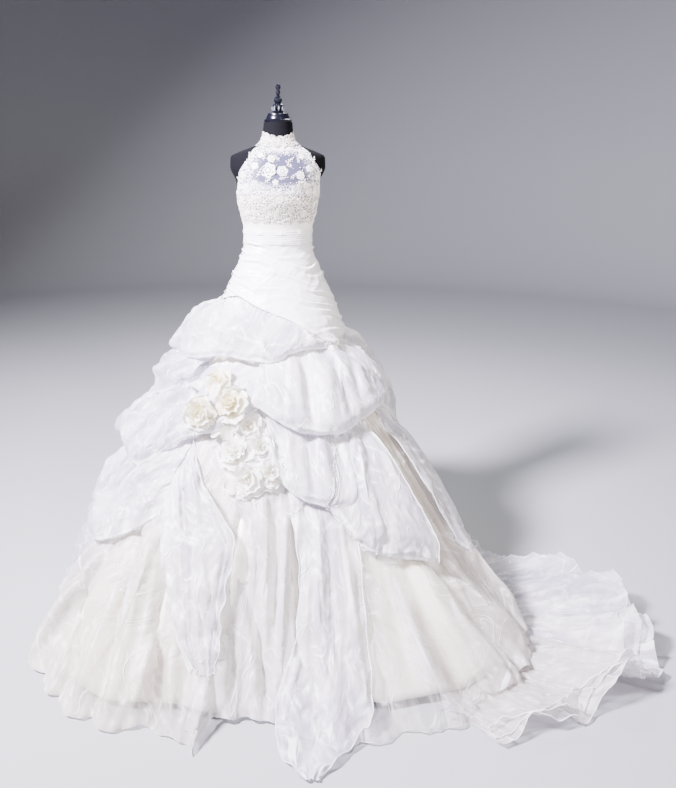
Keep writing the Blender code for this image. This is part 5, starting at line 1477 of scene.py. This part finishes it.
def lobes(count, radius, depth, segments, twist=0.0, stretch=1.0):
    t = np.linspace(0, 2 * np.pi, segments, endpoint=False)
    r = radius * (1 + depth * np.cos(count * t + twist))
    return np.stack([r * np.cos(t) * stretch, r * np.sin(t)], axis=1)


def leafPath(size, across, count=14):
    t = np.linspace(0, 2 * np.pi, count, endpoint=False)
    x = size * (0.5 - 0.5 * np.cos(t))
    return np.stack([x, across * np.sin(t) * (1 - 0.35 * x / size)], axis=1)


def disc(radius, rise, segments=8):
    t = np.linspace(0, 2 * np.pi, segments, endpoint=False)
    rim = np.stack([radius * np.cos(t), radius * np.sin(t), 0 * t], axis=1)
    inner = np.stack([0.6 * radius * np.cos(t), 0.6 * radius * np.sin(t), 0 * t + rise], axis=1)
    return domed([rim, inner], [0, 0, 1.15 * rise])


def pad(path, rise, turn=0.0, away=(0.0, 0.0)):
    # a filled outline, raised in its middle, then turned and set aside
    path = np.asarray(path, float)
    spin = np.array([[math.cos(turn), math.sin(turn)], [-math.sin(turn), math.cos(turn)]])
    path = path @ spin + away
    middle, count = path.mean(axis=0), len(path)
    rim = np.column_stack([path, np.zeros(count)])
    inner = np.column_stack([middle + (path - middle) * 0.74, np.full(count, rise)])
    return domed([rim, inner], [*middle, 0.55 * rise])


def ringOfPetals():
    # six corded petals, each turned and set out from the middle
    path, faces = ribbon(leafPath(0.72, 0.20, 8), 0.12, 0.14)
    petals = []
    for a in np.arange(6) * math.pi / 3:
        spin = np.array([[math.cos(a), math.sin(a), 0], [-math.sin(a), math.cos(a), 0], [0, 0, 1]])
        petals.append((path @ spin + [0.24 * math.cos(a), 0.24 * math.sin(a), 0], faces))
    return petals


motifs = {
    "bloom": joined(
        [pad(leafPath(0.86, 0.50, 9), 0.09, a, (0.10 * math.cos(a), 0.10 * math.sin(a)))
         for a in 0.2 + np.arange(5) * 2 * math.pi / 5]
        + [ribbon(lobes(5, 0.34, 0.12, 12, 0.4), 0.12, 0.15), disc(0.15, 0.15, 6)]
    ),
    "cordedRose": joined([
        ribbon(lobes(6, 0.90, 0.11, 30), 0.26, 0.07), ribbon(lobes(5, 0.58, 0.12, 20, 1.0), 0.26, 0.10),
        pad(lobes(4, 0.34, 0.14, 12, 0.4), 0.12),
    ]),
    "rose": joined([
        ribbon(lobes(5, 0.92, 0.10, 25), 0.22, 0.16), ribbon(lobes(4, 0.60, 0.10, 18, 1.0), 0.20, 0.20),
        ribbon(lobes(3, 0.32, 0.12, 12, 0.4), 0.18, 0.24), disc(0.14, 0.26, 6),
    ]),
    "daisy": joined(ringOfPetals() + [disc(0.18, 0.22, 6)]),
    "leaf": joined([
        ribbon(leafPath(1.9, 0.46), 0.16, 0.14),
        ribbon([(0.1, 0), (0.6, 0.02), (1.1, 0), (1.8, 0)], 0.12, 0.12, False),
    ]),
    "sprig": joined([
        ribbon([(0, 0), (0.7, 0.10), (1.4, 0.05), (2.1, 0.25), (2.7, 0.20)], 0.13, 0.12, False),
        *[pad(leafPath(0.85, 0.25, 9), 0.10, a, (x, y)) for x, y, a in (
            (0.6, 0.1, 0.9), (0.9, 0.05, -0.9), (1.5, 0.1, 0.8), (1.9, 0.2, -0.8), (2.6, 0.2, 0.1),
        )],
    ]),
    "bead": disc(1.0, 1.0, 7),
}


def scatterTree():
    # geometry nodes: one small mesh on every point, turned to the cloth, made real
    tree = bpy.data.node_groups.new("onCloth", "GeometryNodeTree")
    sockets = {}
    for label, kind in (("Geometry", "NodeSocketGeometry"), ("Motif", "NodeSocketObject"),
                        ("Material", "NodeSocketMaterial")):
        sockets[label] = tree.interface.new_socket(label, in_out="INPUT", socket_type=kind).identifier
    tree.interface.new_socket("Geometry", in_out="OUTPUT", socket_type="NodeSocketGeometry")
    given = tree.nodes.new("NodeGroupInput").outputs
    facing, turn, size = [
        addNode(tree, "GeometryNodeInputNamedAttribute", {"Name": key}, "Attribute", data_type=kind)
        for key, kind in (("facing", "FLOAT_VECTOR"), ("turn", "FLOAT"), ("size", "FLOAT"))
    ]
    inputs = {
        "Rotation": addNode(tree, "FunctionNodeAlignRotationToVector", {"Vector": facing}, axis="Z"),
        "Rotate By": addNode(tree, "FunctionNodeAxisAngleToRotation", {"Axis": (0, 0, 1), "Angle": turn}),
    }
    placed = addNode(tree, "GeometryNodeInstanceOnPoints", {
        "Points": addNode(tree, "GeometryNodeMeshToPoints", {"Mesh": given["Geometry"]}),
        "Instance": addNode(tree, "GeometryNodeObjectInfo", {"Object": given["Motif"]}, "Geometry"),
        "Rotation": addNode(tree, "FunctionNodeRotateRotation", inputs, rotation_space="LOCAL"),
        "Scale": size,
    })
    real = addNode(tree, "GeometryNodeRealizeInstances", {"Geometry": placed})
    dressed = addNode(tree, "GeometryNodeSetMaterial", {"Geometry": real, "Material": given["Material"]})
    addNode(tree, "NodeGroupOutput", {"Geometry": dressed})
    return tree, sockets


onCloth, onClothSockets = scatterTree()


def surfaceSpot(angle, height, off=0.0):
    # where the outermost cloth is and which way it faces there
    angle, height = np.asarray(angle, float), np.asarray(height, float)
    step = 0.004

    def place(turn, level):
        return onBody(turn, pile.at(turn, level), level)

    radius = pile.at(angle, height)
    across = place(angle + step / radius, height) - place(angle - step / radius, height)
    upward = place(angle, height + step) - place(angle, height - step)
    facing = np.cross(across, upward)
    facing /= np.linalg.norm(facing, axis=-1, keepdims=True)
    return onBody(angle, radius, height) + facing * off, facing


def strew(name, motif, angle, height, size, turn, off=0.2):
    # motifs at angles in degrees and heights, with their sizes in mm, their turns and how far off they lie
    points, facing = surfaceSpot(np.radians(angle), height, off * mm)
    source = bpy.data.objects.new(motif, newMesh(motif, *motifs[motif]))
    mesh = newMesh(name, points, [])
    for key, values, kind, field in (
        ("facing", facing, "FLOAT_VECTOR", "vector"), ("turn", turn, "FLOAT", "value"),
        ("size", np.multiply(size, mm), "FLOAT", "value"),
    ):
        each = np.broadcast_to(values, facing.shape if kind == "FLOAT_VECTOR" else len(facing))
        mesh.attributes.new(key, kind, "POINT").data.foreach_set(field, each.astype(np.float32).ravel())
    holder = linked(name + "Places", mesh)
    modifier = holder.modifiers.new("onCloth", "NODES")
    modifier.node_group = onCloth
    modifier[onClothSockets["Motif"]] = source
    modifier[onClothSockets["Material"]] = pearl if motif == "bead" else laceThread
    ready = holder.evaluated_get(bpy.context.evaluated_depsgraph_get())
    real = bpy.data.meshes.new_from_object(ready)
    real.name = name
    bpy.data.objects.remove(holder)
    bpy.data.objects.remove(source)
    made[name] = linked(name, real)
    print(name, len(points), "motifs,", len(real.polygons), "faces")


def scattered(seed, count, side, foot, topOf, apart):
    # places with at least a given distance between them, as angle and height
    rng = random.Random(seed)
    found = []
    for attempt in range(count * 30):
        angle = rng.uniform(-side, side)
        height = rng.uniform(foot, topOf(angle))
        x, y = math.radians(angle) * laceReach, height
        if all((x - a) ** 2 + (y - b) ** 2 > apart**2 for a, b, c, d in found):
            found.append((x, y, angle, height))
        if len(found) >= count:
            break
    return np.array([(c, d) for a, b, c, d in found])


def strewRows(name, motif, rows, off=0.2):
    # rows of angle, height, size in mm and turn
    strew(name, motif, *np.array(rows, float).T, off)


def strewMany(name, motif, places, sizes, turned=True, off=0.2):
    # at given places, with sizes in mm and turns drawn from rng
    drawn = rng.uniform(*sizes, len(places))
    strew(name, motif, *places.T, drawn, rng.uniform(0, 6.3, len(places)) if turned else 0.0, off)


def bodiceTop(angle):
    stations = np.array(bodiceFront["stations"] if abs(angle) < 90 else bodiceBack["stations"], float)
    turn = angle if abs(angle) < 90 else angle % 360
    return float(smoothCurve(turn, stations[:, 0], stations[:, 1] / 1000)) - 0.006


def yokeSide(height):
    table = np.array(halterYoke["rows"], float)
    return float(smoothCurve(-height, -table[:, 0] / 1000, table[:, 2])) - 4


laceReach = 0.125             # the body's radius where the lace is
rng = np.random.default_rng(6)
for name, motif, seed, count, foot, apart, sizes in (
    ("laceRoses", "rose", 5, 46, 1.234, 0.021, (8, 11.5)),
    ("laceDaisies", "daisy", 7, 150, 1.222, 0.0115, (4.5, 6.5)),
    ("laceLeaves", "leaf", 8, 150, 1.219, 0.0115, (4.5, 6.5)),
):
    strewMany(name, motif, scattered(seed, count, 178, foot, bodiceTop, apart), sizes)

# the sprig edge above the waistband
turns = np.linspace(-180, 180, 33)[:-1]
levels = 1.224 + 0.004 * np.sin(turns * 0.31)
strew("laceEdge", "sprig", turns, levels, 6.5, np.where(np.arange(32) % 2, -0.5, 0.4))

# the yoke: one large rose with a smaller one beside it, then sprays and a worked border
yokeRoses = (
    # angle, height, size mm, turn
    (-24, 1.390, 23.0, 0.3), (1, 1.387, 16.5, 1.2), (31, 1.374, 13.5, 2.0), (-21, 1.427, 12.0, 0.9),
    (-46, 1.404, 14.0, 0.2), (48, 1.394, 13.5, 1.7), (-11, 1.352, 11.0, 2.6), (-42, 1.438, 11.5, 0.5),
    (-62, 1.372, 14.0, 0.1), (63, 1.366, 14.0, 0.7), (-74, 1.336, 12.0, 1.9), (75, 1.336, 12.0, 2.9),
    (42, 1.434, 12.0, 1.1), (4, 1.462, 10.0, 0.6), (-20, 1.462, 9.0, 2.2), (26, 1.460, 10.0, 1.9),
)
yokeSprigs = (
    (-40, 1.368, 8.5, 0.7), (-6, 1.362, 7.5, 0.2), (14, 1.362, 8.0, 0.9), (19, 1.398, 9.0, 2.3),
    (12, 1.416, 8.0, 0.6), (34, 1.412, 8.0, 1.9), (-34, 1.420, 8.0, 1.2), (-4, 1.420, 7.5, 2.2),
    (-54, 1.392, 8.5, 1.5), (56, 1.408, 8.5, 1.6), (-30, 1.448, 7.5, 0.4), (16, 1.440, 8.0, 2.7),
    (-55, 1.424, 7.5, 1.3), (-68, 1.350, 8.5, 1.4), (68, 1.382, 8.5, 1.7), (24, 1.352, 7.5, 0.0),
    (-8, 1.446, 7.5, 1.0), (40, 1.352, 8.0, 2.6), (-28, 1.350, 8.0, 0.3), (52, 1.436, 7.0, 2.2),
)
strewRows("yokeRoses", "cordedRose", yokeRoses[:4])
strewRows("yokeBlooms", "bloom", yokeRoses[4:])
strewRows("yokeSprigs", "sprig", yokeSprigs)
levels = np.linspace(1.318, 1.458, 17)
turns = np.array([yokeSide(level) for level in levels])
strew("yokeBorder", "daisy", np.concatenate([-turns, turns]), np.tile(levels, 2), 4.8, np.arange(34.0))
turns = np.linspace(0, 360, 29)[:-1]
strew("collarDaisies", "daisy", turns, 1.484 + 0.010 * np.sin(np.radians(turns)) ** 2, 4.6, np.arange(28.0))
strew("collarLeaves", "leaf", turns + 6, np.full(28, 1.470), 4.0, np.where(np.arange(28) % 2, 0.6, 2.5))
border = scattered(12, 110, 86, 1.325, lambda a: 1.458, 0.0105)
border = border[(np.abs(border[:, 0]) > 46) | (border[:, 1] > 1.444)]
border = np.array([spot for spot in border if abs(spot[0]) < yokeSide(spot[1])])
strewMany("yokeDaisies", "daisy", border, (5.0, 7.0))
beads = scattered(9, 620, 178, 1.216, bodiceTop, 0.0052)
onYoke = scattered(10, 90, 60, 1.345, lambda a: 1.455, 0.0095)
strewMany("lacePearls", "bead", np.concatenate([beads, onYoke]), (1.0, 1.9), False, 0.6)
print("lace made")

# silk flowers


def makePetalSilk(name, inner, outer):
    # silk petals: tinted near the middle, whiter and thinner at the rim, with fine veins
    material, tree = emptyMaterial(name)
    uv = addNode(tree, "UVMap", uv_map="cloth")
    reach = addNode(tree, "Attribute", None, "Fac", attribute_name="reach")
    clouds = addNode(tree, "TexNoise", {"Vector": uv, "Scale": 90.0})
    stain = addNode(tree, "Math", {0: clouds, 1: 0.3}, operation="MULTIPLY")
    spread = addNode(tree, "Math", {0: reach, 1: stain})
    where = addNode(tree, "MapRange", {"Value": spread, "From Min": 0.25, "From Max": 0.95})
    inputs = {"Factor": where, "A": colour(inner), "B": colour(outer)}
    shade = addNode(tree, "Mix", inputs, "Result", data_type="RGBA")
    laid = addNode(tree, "Mapping", {"Vector": uv, "Scale": (900, 60, 1)})
    veins = addNode(tree, "TexNoise", {"Vector": laid, "Scale": 1.0})
    face = addNode(tree, "BsdfPrincipled", {
        "Base Color": shade, "Roughness": 0.45, "Sheen Weight": 0.35,
        "Normal": addNode(tree, "Bump", {"Height": veins, "Strength": 0.25, "Distance": 0.3 * mm}),
    })
    glow = addNode(tree, "BsdfTranslucent", {"Color": shade})
    seen = addNode(tree, "MixShader", {0: 0.35, 1: face, 2: glow})
    addNode(tree, "OutputMaterial", {"Surface": seen})
    return material


whitePetals = makePetalSilk("whiteSilkPetals", "#f6f2e6", "#ffffff")
creamPetals = makePetalSilk("creamSilkPetals", "#e9dfb4", "#fcf9ee")
flowerHeart = makePlain("flowerStamens", "#e8dfb8", 0.6, grain=(0.8 * mm, 0.3 * mm))

flowerTrail = (
    # angle, height, radius, petals, petal silk
    (-40.4, 0.743, 0.033, 5, creamPetals), (-41.0, 0.683, 0.036, 6, creamPetals),
    (-29.2, 0.702, 0.037, 6, creamPetals), (-33.1, 0.625, 0.038, 6, whitePetals),
    (-21.1, 0.634, 0.038, 5, whitePetals), (-25.1, 0.568, 0.039, 6, whitePetals),
    (-14.9, 0.588, 0.038, 6, whitePetals), (-18.6, 0.513, 0.040, 7, whitePetals),
    (-9.7, 0.527, 0.037, 7, whitePetals),
)
petalReach = 0.90             # petals reach a little less far than the flower's radius


def petal(rng, length, width, cup, curl):
    # one petal as a small grid: narrow at its foot, round and curled at its rim
    rows, columns = 9, 10
    t, s = np.meshgrid(np.linspace(0, 1, rows), np.linspace(-1, 1, columns), indexing="ij")
    half = width * np.sin(np.pi * (0.10 + 0.74 * t**0.8)) ** 0.75
    notch = 1 - 0.07 * np.exp(-((s / 0.18) ** 2)) * t**4
    x = length * (0.10 + 0.90 * t * (1 - 0.12 * s**2)) * notch
    y = half * s
    ruffle = 0.10 * length * t**3 * np.sin(s * rng.uniform(3.0, 5.5) + rng.uniform(0, 6))
    bowl = cup * length * (t**1.5) * (0.5 + 0.8 * s**2)
    z = bowl + ruffle - curl * length * np.clip(t - 0.72, 0, 1) ** 1.5 * 2.4
    return np.stack([x, y, z], axis=-1), t


def makeFlower(number, angle, height, radius, petals, silk):
    rng = np.random.default_rng(100 + number)
    turn = math.radians(angle)
    spot, facing = surfaceSpot(np.array([turn]), np.array([height]), 1.5 * mm)
    facing = facing[0] * 0.55 + np.array([math.sin(turn), -math.cos(turn), 0.28]) * 0.45
    facing /= np.linalg.norm(facing)
    side = np.array([math.cos(turn), math.sin(turn), 0.0])
    side -= facing * (side @ facing)
    side /= np.linalg.norm(side)
    up = np.cross(facing, side)
    points, faces, reach, uv, kinds, start = [], [], [], [], [], 0
    rings = (
        # share of radius, width share, tilt, cup, curl, count, lift mm
        (1.72, 0.92, 0.04, 0.16, 0.20, petals, 2.0),
        (1.40, 0.80, 0.30, 0.26, 0.20, petals, 7.0),
        (1.02, 0.62, 0.62, 0.36, 0.14, max(4, petals - 2), 11.0),
        (0.64, 0.42, 1.00, 0.46, 0.02, 3, 13.0),
    )
    radius *= petalReach
    for ring, (share, wide, tilt, cup, curl, count, lift) in enumerate(rings):
        for k in range(count):
            spin = 2 * math.pi * (k + 0.5 * ring) / count + rng.normal(0, 0.16)
            long, broad = radius * share * rng.uniform(0.9, 1.1), radius * wide * rng.uniform(0.9, 1.12)
            leaf, t = petal(rng, long, broad, cup, curl)
            rise = tilt + rng.normal(0, 0.12)
            x = leaf[..., 0] * math.cos(rise) - leaf[..., 2] * math.sin(rise)
            z = leaf[..., 0] * math.sin(rise) + leaf[..., 2] * math.cos(rise) + lift * mm
            a = x * math.cos(spin) - leaf[..., 1] * math.sin(spin)
            b = x * math.sin(spin) + leaf[..., 1] * math.cos(spin)
            z = np.maximum(z, 0.0006)
            place = spot[0] + a[..., None] * side + b[..., None] * up + z[..., None] * facing
            points.append(place.reshape(-1, 3))
            faces += (gridFaces(t) + start).tolist()
            kinds += [0] * (len(faces) - len(kinds))
            reach.append(t.ravel() * (1 - 0.13 * ring))
            uv.append(np.stack([leaf[..., 1], leaf[..., 0]], axis=-1).reshape(-1, 2))
            start += t.size
    # stamens
    for k in range(14):
        spin, away = rng.uniform(0, 6.3), rng.uniform(0, 0.10) * radius
        bead, cells = disc(1.5 * mm, 1.9 * mm, 6)
        base = spot[0] + facing * (0.20 * radius + rng.uniform(3, 9) * mm)
        base = base + side * away * math.cos(spin) + up * away * math.sin(spin)
        points.append(base + bead[:, :1] * side + bead[:, 1:2] * up + bead[:, 2:] * facing)
        faces += [[start + i for i in cell] for cell in cells]
        kinds += [1] * len(cells)
        reach.append(np.zeros(len(bead)))
        uv.append(bead[:, :2])
        start += len(bead)
    meshObject(f"flower{number + 1}", np.concatenate(points), faces, [silk, flowerHeart],
               {"reach": np.concatenate(reach)}, np.concatenate(uv), kinds)


for number, row in enumerate(flowerTrail):
    makeFlower(number, *row)

# single petals that join the flowers into one trail
rng = np.random.default_rng(55)
points, faces, reach, uv = [], [], [], []
looseCount = 34
for k in range(looseCount):
    share = (k + rng.uniform(0, 0.9)) / looseCount
    turn, level = math.radians(-41 + 28 * share + rng.normal(0, 4.0)), 0.735 - 0.225 * share
    level += rng.normal(0, 0.014)
    spot, facing = surfaceSpot(np.array([turn]), np.array([level]), 4 * mm)
    away = rng.uniform(0, 2 * math.pi)
    facing = facing[0] + rng.normal(0, 0.25, 3)
    facing /= np.linalg.norm(facing)
    side = np.cross(facing, (math.cos(away), 0.2, math.sin(away)))
    side /= np.linalg.norm(side)
    leaf, t = petal(rng, rng.uniform(0.036, 0.052), rng.uniform(0.020, 0.028), 0.30, 0.15)
    place = spot[0] + leaf[..., :1] * np.cross(side, facing) + leaf[..., 1:2] * side + leaf[..., 2:] * facing
    points.append(place.reshape(-1, 3))
    faces.append(gridFaces(t) + k * t.size)
    reach.append(t.ravel())
    uv.append(leaf[..., [1, 0]].reshape(-1, 2))
meshObject("loosePetals", np.concatenate(points), np.concatenate(faces), [whitePetals],
           {"reach": np.concatenate(reach)}, np.concatenate(uv))

# loose sprays and pearl fringe among the flowers, and the beaded sprig at the right hip
strewRows("flowerSprays", "sprig", (
    (-43, 0.780, 9, 1.5), (-36, 0.655, 9, 3.6), (-12, 0.560, 9, 5.2), (-27, 0.500, 9, 4.3),
    (-16, 0.470, 8, 4.8), (-34, 0.585, 8, 3.4),
), 6)
rng = np.random.default_rng(31)
fringe = rng.normal(0, 1, (34, 2)) * [2.6, 0.014] + [-15.5, 0.486]
strewMany("flowerPearls", "bead", fringe, (1.4, 2.4), False, 1)
strewRows("hipSprig", "daisy", (
    (44, 0.842, 8.0, 0.2), (46.5, 0.848, 6.5, 1.5), (41.5, 0.849, 6.0, 2.9), (45.5, 0.834, 6.0, 4.9),
    (41.5, 0.833, 5.5, 3.9),
), 1.2)
cluster = rng.normal(0, 1, (46, 2)) * [2.6, 0.007] + [44, 0.842]
strewMany("hipPearls", "bead", cluster, (1.2, 2.2), False, 1.2)
print("flowers made")

# dress form and stand


def ringFaces(rows, segments, start=0):
    # the quads between closed rings of points that follow each other
    faces = []
    for i in range(rows - 1):
        for j in range(segments):
            a, b = start + i * segments + j, start + i * segments + (j + 1) % segments
            faces.append((a, b, b + segments, a + segments))
    return faces


def solidOfRings(name, rings, material, sharpAngle=38):
    # closed body from rings of points, foot first, with a point in the middle of each end
    rows, segments = rings.shape[:2]
    points = np.concatenate([rings.reshape(-1, 3), [[0, 0, rings[0, 0, 2]], [0, 0, rings[-1, 0, 2]]]])
    faces = ringFaces(rows, segments)
    foot, last = rows * segments, (rows - 1) * segments
    for j in range(segments):
        k = (j + 1) % segments
        faces += [(foot, k, j), (foot + 1, last + j, last + k)]
    piece = meshObject(name, points, faces, [material])
    piece.data.set_sharp_from_angle(angle=math.radians(sharpAngle))
    return piece


def lathe(name, profile, segments, material):
    # a turned body from rows of height and radius
    turn = np.linspace(0, 2 * np.pi, segments, endpoint=False)
    rings = np.array([onBody(turn, radius, height) for height, radius in profile])
    return solidOfRings(name, rings, material)


turns = np.linspace(0, 2 * np.pi, 72, endpoint=False)
rings = [
    onBody(turns, sectionRadius(torsoSections, turns, np.full(72, height)), height)
    for height in np.linspace(0.8605, 1.5448, 90)
]
solidOfRings("formTorso", np.array(rings), blackJersey, 50)

crystal = makePlain("cutCrystal", "#8d94a6", 0.06, metallic=0.35, coat=1.0)
navyLacquer = makePlain("navyLacquer", "#0a0b14", 0.24, coat=0.2, shine=0.3)
lathe("neckCap", (
    (1.5453, 0.040), (1.5458, 0.0445), (1.549, 0.0462), (1.5525, 0.0458), (1.5545, 0.0425), (1.5555, 0.0400),
    (1.560, 0.0385), (1.5655, 0.0365), (1.5672, 0.0352), (1.570, 0.0345), (1.5728, 0.0338), (1.5743, 0.0305),
    (1.5747, 0.0200),
), 72, navyLacquer)
finial = lathe("turnedFinial", (
    (1.5750, 0.0150), (1.5770, 0.0180), (1.5795, 0.0190), (1.5812, 0.0175), (1.5825, 0.0105),
    (1.5845, 0.0098), (1.5862, 0.0140), (1.5890, 0.0172), (1.5950, 0.0190), (1.6010, 0.0178),
    (1.6040, 0.0130), (1.6062, 0.0098), (1.6080, 0.0102), (1.6100, 0.0125), (1.6150, 0.0142),
    (1.6210, 0.0128), (1.6260, 0.0085), (1.6310, 0.0052), (1.6360, 0.0060), (1.6400, 0.0080),
    (1.6450, 0.0066), (1.6490, 0.0050), (1.6530, 0.0072), (1.6575, 0.0090), (1.6630, 0.0078),
    (1.6680, 0.0042), (1.6698, 0.0015),
), 12, navyLacquer)
finial.data.polygons.foreach_set("use_smooth", np.zeros(len(finial.data.polygons), bool))

# a crown of cut drops round the finial's ring
dropCount, dropSides = 8, 6
dropRows = (
    # height, distance from the middle, half width
    (1.5815, 0.0170, 0.0012), (1.5850, 0.0186, 0.0025), (1.5890, 0.0196, 0.0030), (1.5930, 0.0191, 0.0020),
    (1.5975, 0.0180, 0.0005),
)
points, faces = [], []
for k in range(dropCount):
    turn, start = 2 * math.pi * k / dropCount, len(points)
    for height, away, size in dropRows:
        for j in range(dropSides):
            spin = 2 * math.pi * j / dropSides
            r, w = away + size * math.cos(spin) * 0.7, size * math.sin(spin)
            points.append(
                (r * math.sin(turn) + w * math.cos(turn), -r * math.cos(turn) + w * math.sin(turn), height)
            )
    faces += ringFaces(len(dropRows), dropSides, start)
    last = len(points) - dropSides
    faces.append(tuple(start + j for j in range(dropSides - 1, -1, -1)))
    faces.append(tuple(last + j for j in range(dropSides)))
meshObject("finialDrops", points, faces, [crystal], smooth=False)

lathe("standPole", (
    (0.0565, 0.0145), (0.0570, 0.0160), (0.30, 0.0160), (0.858, 0.0160), (0.8596, 0.0150),
), 40, blackLacquer)
lathe("standBase", (
    (0.0, 0.182), (0.002, 0.1875), (0.005, 0.190), (0.013, 0.190), (0.0165, 0.188), (0.0195, 0.181),
    (0.0205, 0.150), (0.0225, 0.100), (0.026, 0.062), (0.032, 0.044), (0.042, 0.034), (0.050, 0.0295),
    (0.0562, 0.0262),
), 96, blackLacquer)

# covered buttons: one at the nape, the others down the centre back
coveredSatin = makeSatin("buttonSatin", duchessSatin)
buttonSides, buttonTop = 24, 0.82
buttonRings = ((0.55, 0.0), (0.86, 0.06), (1.0, 0.22), (0.98, 0.40), (0.84, 0.60), (0.58, 0.74), (0.28, 0.80))
buttonRows = (
    # height, radius
    (1.486, 0.0060), (1.222, 0.0055), (1.142, 0.0055), (1.112, 0.0055), (1.082, 0.0055), (1.052, 0.0055),
)


def makeButton(name, height, radius):
    turn = math.pi
    spot, facing = surfaceSpot(np.array([turn]), np.array([height]), 0.3 * mm)
    side = np.array([math.cos(turn), math.sin(turn), 0.0])
    up = np.cross(facing[0], side)
    spin = np.linspace(0, 2 * np.pi, buttonSides, endpoint=False)[:, None]
    rings = [
        spot[0] + radius * (share * np.cos(spin) * side + share * np.sin(spin) * up + rise * facing[0])
        for share, rise in buttonRings
    ]
    points = np.concatenate([*rings, [spot[0] + radius * buttonTop * facing[0]]])
    faces = ringFaces(len(rings), buttonSides)
    last = (len(rings) - 1) * buttonSides
    faces += [(last + j, last + (j + 1) % buttonSides, last + buttonSides) for j in range(buttonSides)]
    faces.append(tuple(range(buttonSides - 1, -1, -1)))
    meshObject(name, points, faces, [coveredSatin], None, (points - spot[0]) @ np.stack([side, up], axis=1))


for number, row in enumerate(buttonRows):
    makeButton(f"button{number + 1}", *row)
print("form, stand and buttons made")

# what each piece is
flowers = tuple(f"flower{number + 1}" for number in range(len(flowerTrail)))
buttons = tuple(f"button{number + 1}" for number in range(len(buttonRows)))
otherNode = {"pleatedBand": "waistband", "turnedFinial": "finial"}
slotOf = {
    "satin": ("liningFront", "liningBack", "hipFront", "hipBack", "pleatedBand"),
    "beaded_lace": (
        "bodiceFront", "bodiceBack", "halterYoke", "standCollar", "laceRoses", "laceDaisies", "laceLeaves",
        "laceEdge", "yokeRoses", "yokeBlooms", "yokeSprigs", "yokeBorder", "yokeDaisies", "collarDaisies",
        "collarLeaves", "lacePearls", "hipSprig", "hipPearls", "flowerSprays", "flowerPearls",
    ),
    "organza": tuple(d["name"] for d in drapes[2:]) + ("trainUnder", "trainMiddle", "trainTop"),
    "silk_petal": (*flowers, "loosePetals"),
    "covered_button": buttons,
    "black_jersey": ("formTorso",),
    "black_lacquer": ("neckCap", "standPole", "standBase"),
    "crystal_metal": ("turnedFinial", "finialDrops"),
}
# the pieces that stand for no node of their own
added = (
    *slotOf["beaded_lace"][4:16], *slotOf["beaded_lace"][17:], "trainMiddle", "loosePetals", "finialDrops",
)


def nodeOf(name):
    # hipFront stands for hip_front and flower1 for flower_1
    return otherNode.get(name, "".join("_" + c.lower() if c.isupper() or c.isdigit() else c for c in name))


for name, piece in made.items():
    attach(piece, "root")
    if name not in added:
        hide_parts(nodeOf(name))

# studio


def studio():
    # a pale floor that sweeps up into a wall on every side
    flat, bend, segments = 5.6, 1.6, 96
    path = [(2.0, 0.0), (4.0, 0.0), (flat, 0.0)]
    for k in range(1, 13):
        turn = math.radians(7.5 * k)
        path.append((flat + bend * math.sin(turn), bend - bend * math.cos(turn)))
    path += [(flat + bend, 4.0), (flat + bend, 7.0)]
    turns = np.linspace(0, 2 * np.pi, segments, endpoint=False)
    points = [(0.0, 0.0, 0.0)]
    for radius, height in path:
        points += [(radius * math.sin(t), -radius * math.cos(t), height) for t in turns]
    faces = [(0, 1 + j, 1 + (j + 1) % segments) for j in range(segments)]
    faces += [(face[0], *face[:0:-1]) for face in ringFaces(len(path), segments, 1)]
    mesh = newMesh("studioFloor", points, faces)
    mesh.materials.append(makePlain("paintedFloor", "#a9abaf", 0.7, grain=(30 * mm, 0.1 * mm)))
    floor = linked("studioFloor", mesh)
    floor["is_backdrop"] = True


def areaLight(name, place, target, size, power, tint, spread):
    data = bpy.data.lights.new(name, "AREA")
    data.shape = "RECTANGLE"
    data.size, data.size_y = size
    data.energy = power
    data.spread = math.radians(spread)
    data.color = colour(tint)[:3]
    light = linked(name, data)
    light.location = place
    light.rotation_euler = (Vector(target) - Vector(place)).to_track_quat("-Z", "Y").to_euler()


studio()
world = bpy.data.worlds.new("softLight")
world.use_nodes = True
background = world.node_tree.nodes["Background"]
background.inputs["Color"].default_value = colour("#dfe3ec")
background.inputs["Strength"].default_value = 0.11
bpy.context.scene.world = world
areaLight("keyLeft", (-2.8, -1.7, 3.8), (0.0, 0.0, 1.1), (0.7, 0.7), 620, "#f6f0ff", 100)
areaLight("upperFront", (0.9, -2.7, 2.6), (0.0, 0.0, 1.2), (0.6, 0.6), 17, "#fff6ee", 60)
areaLight("fillRight", (3.2, -2.6, 1.8), (0.2, 0.0, 0.4), (1.2, 1.2), 18, "#ffe9cc", 120)
areaLight("topBack", (0.8, 2.2, 3.4), (0.1, 0.0, 0.7), (2.0, 1.2), 50, "#f4f6ff", 120)

size = {"cad": cadBox, "visual": [list(corner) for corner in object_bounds()]}
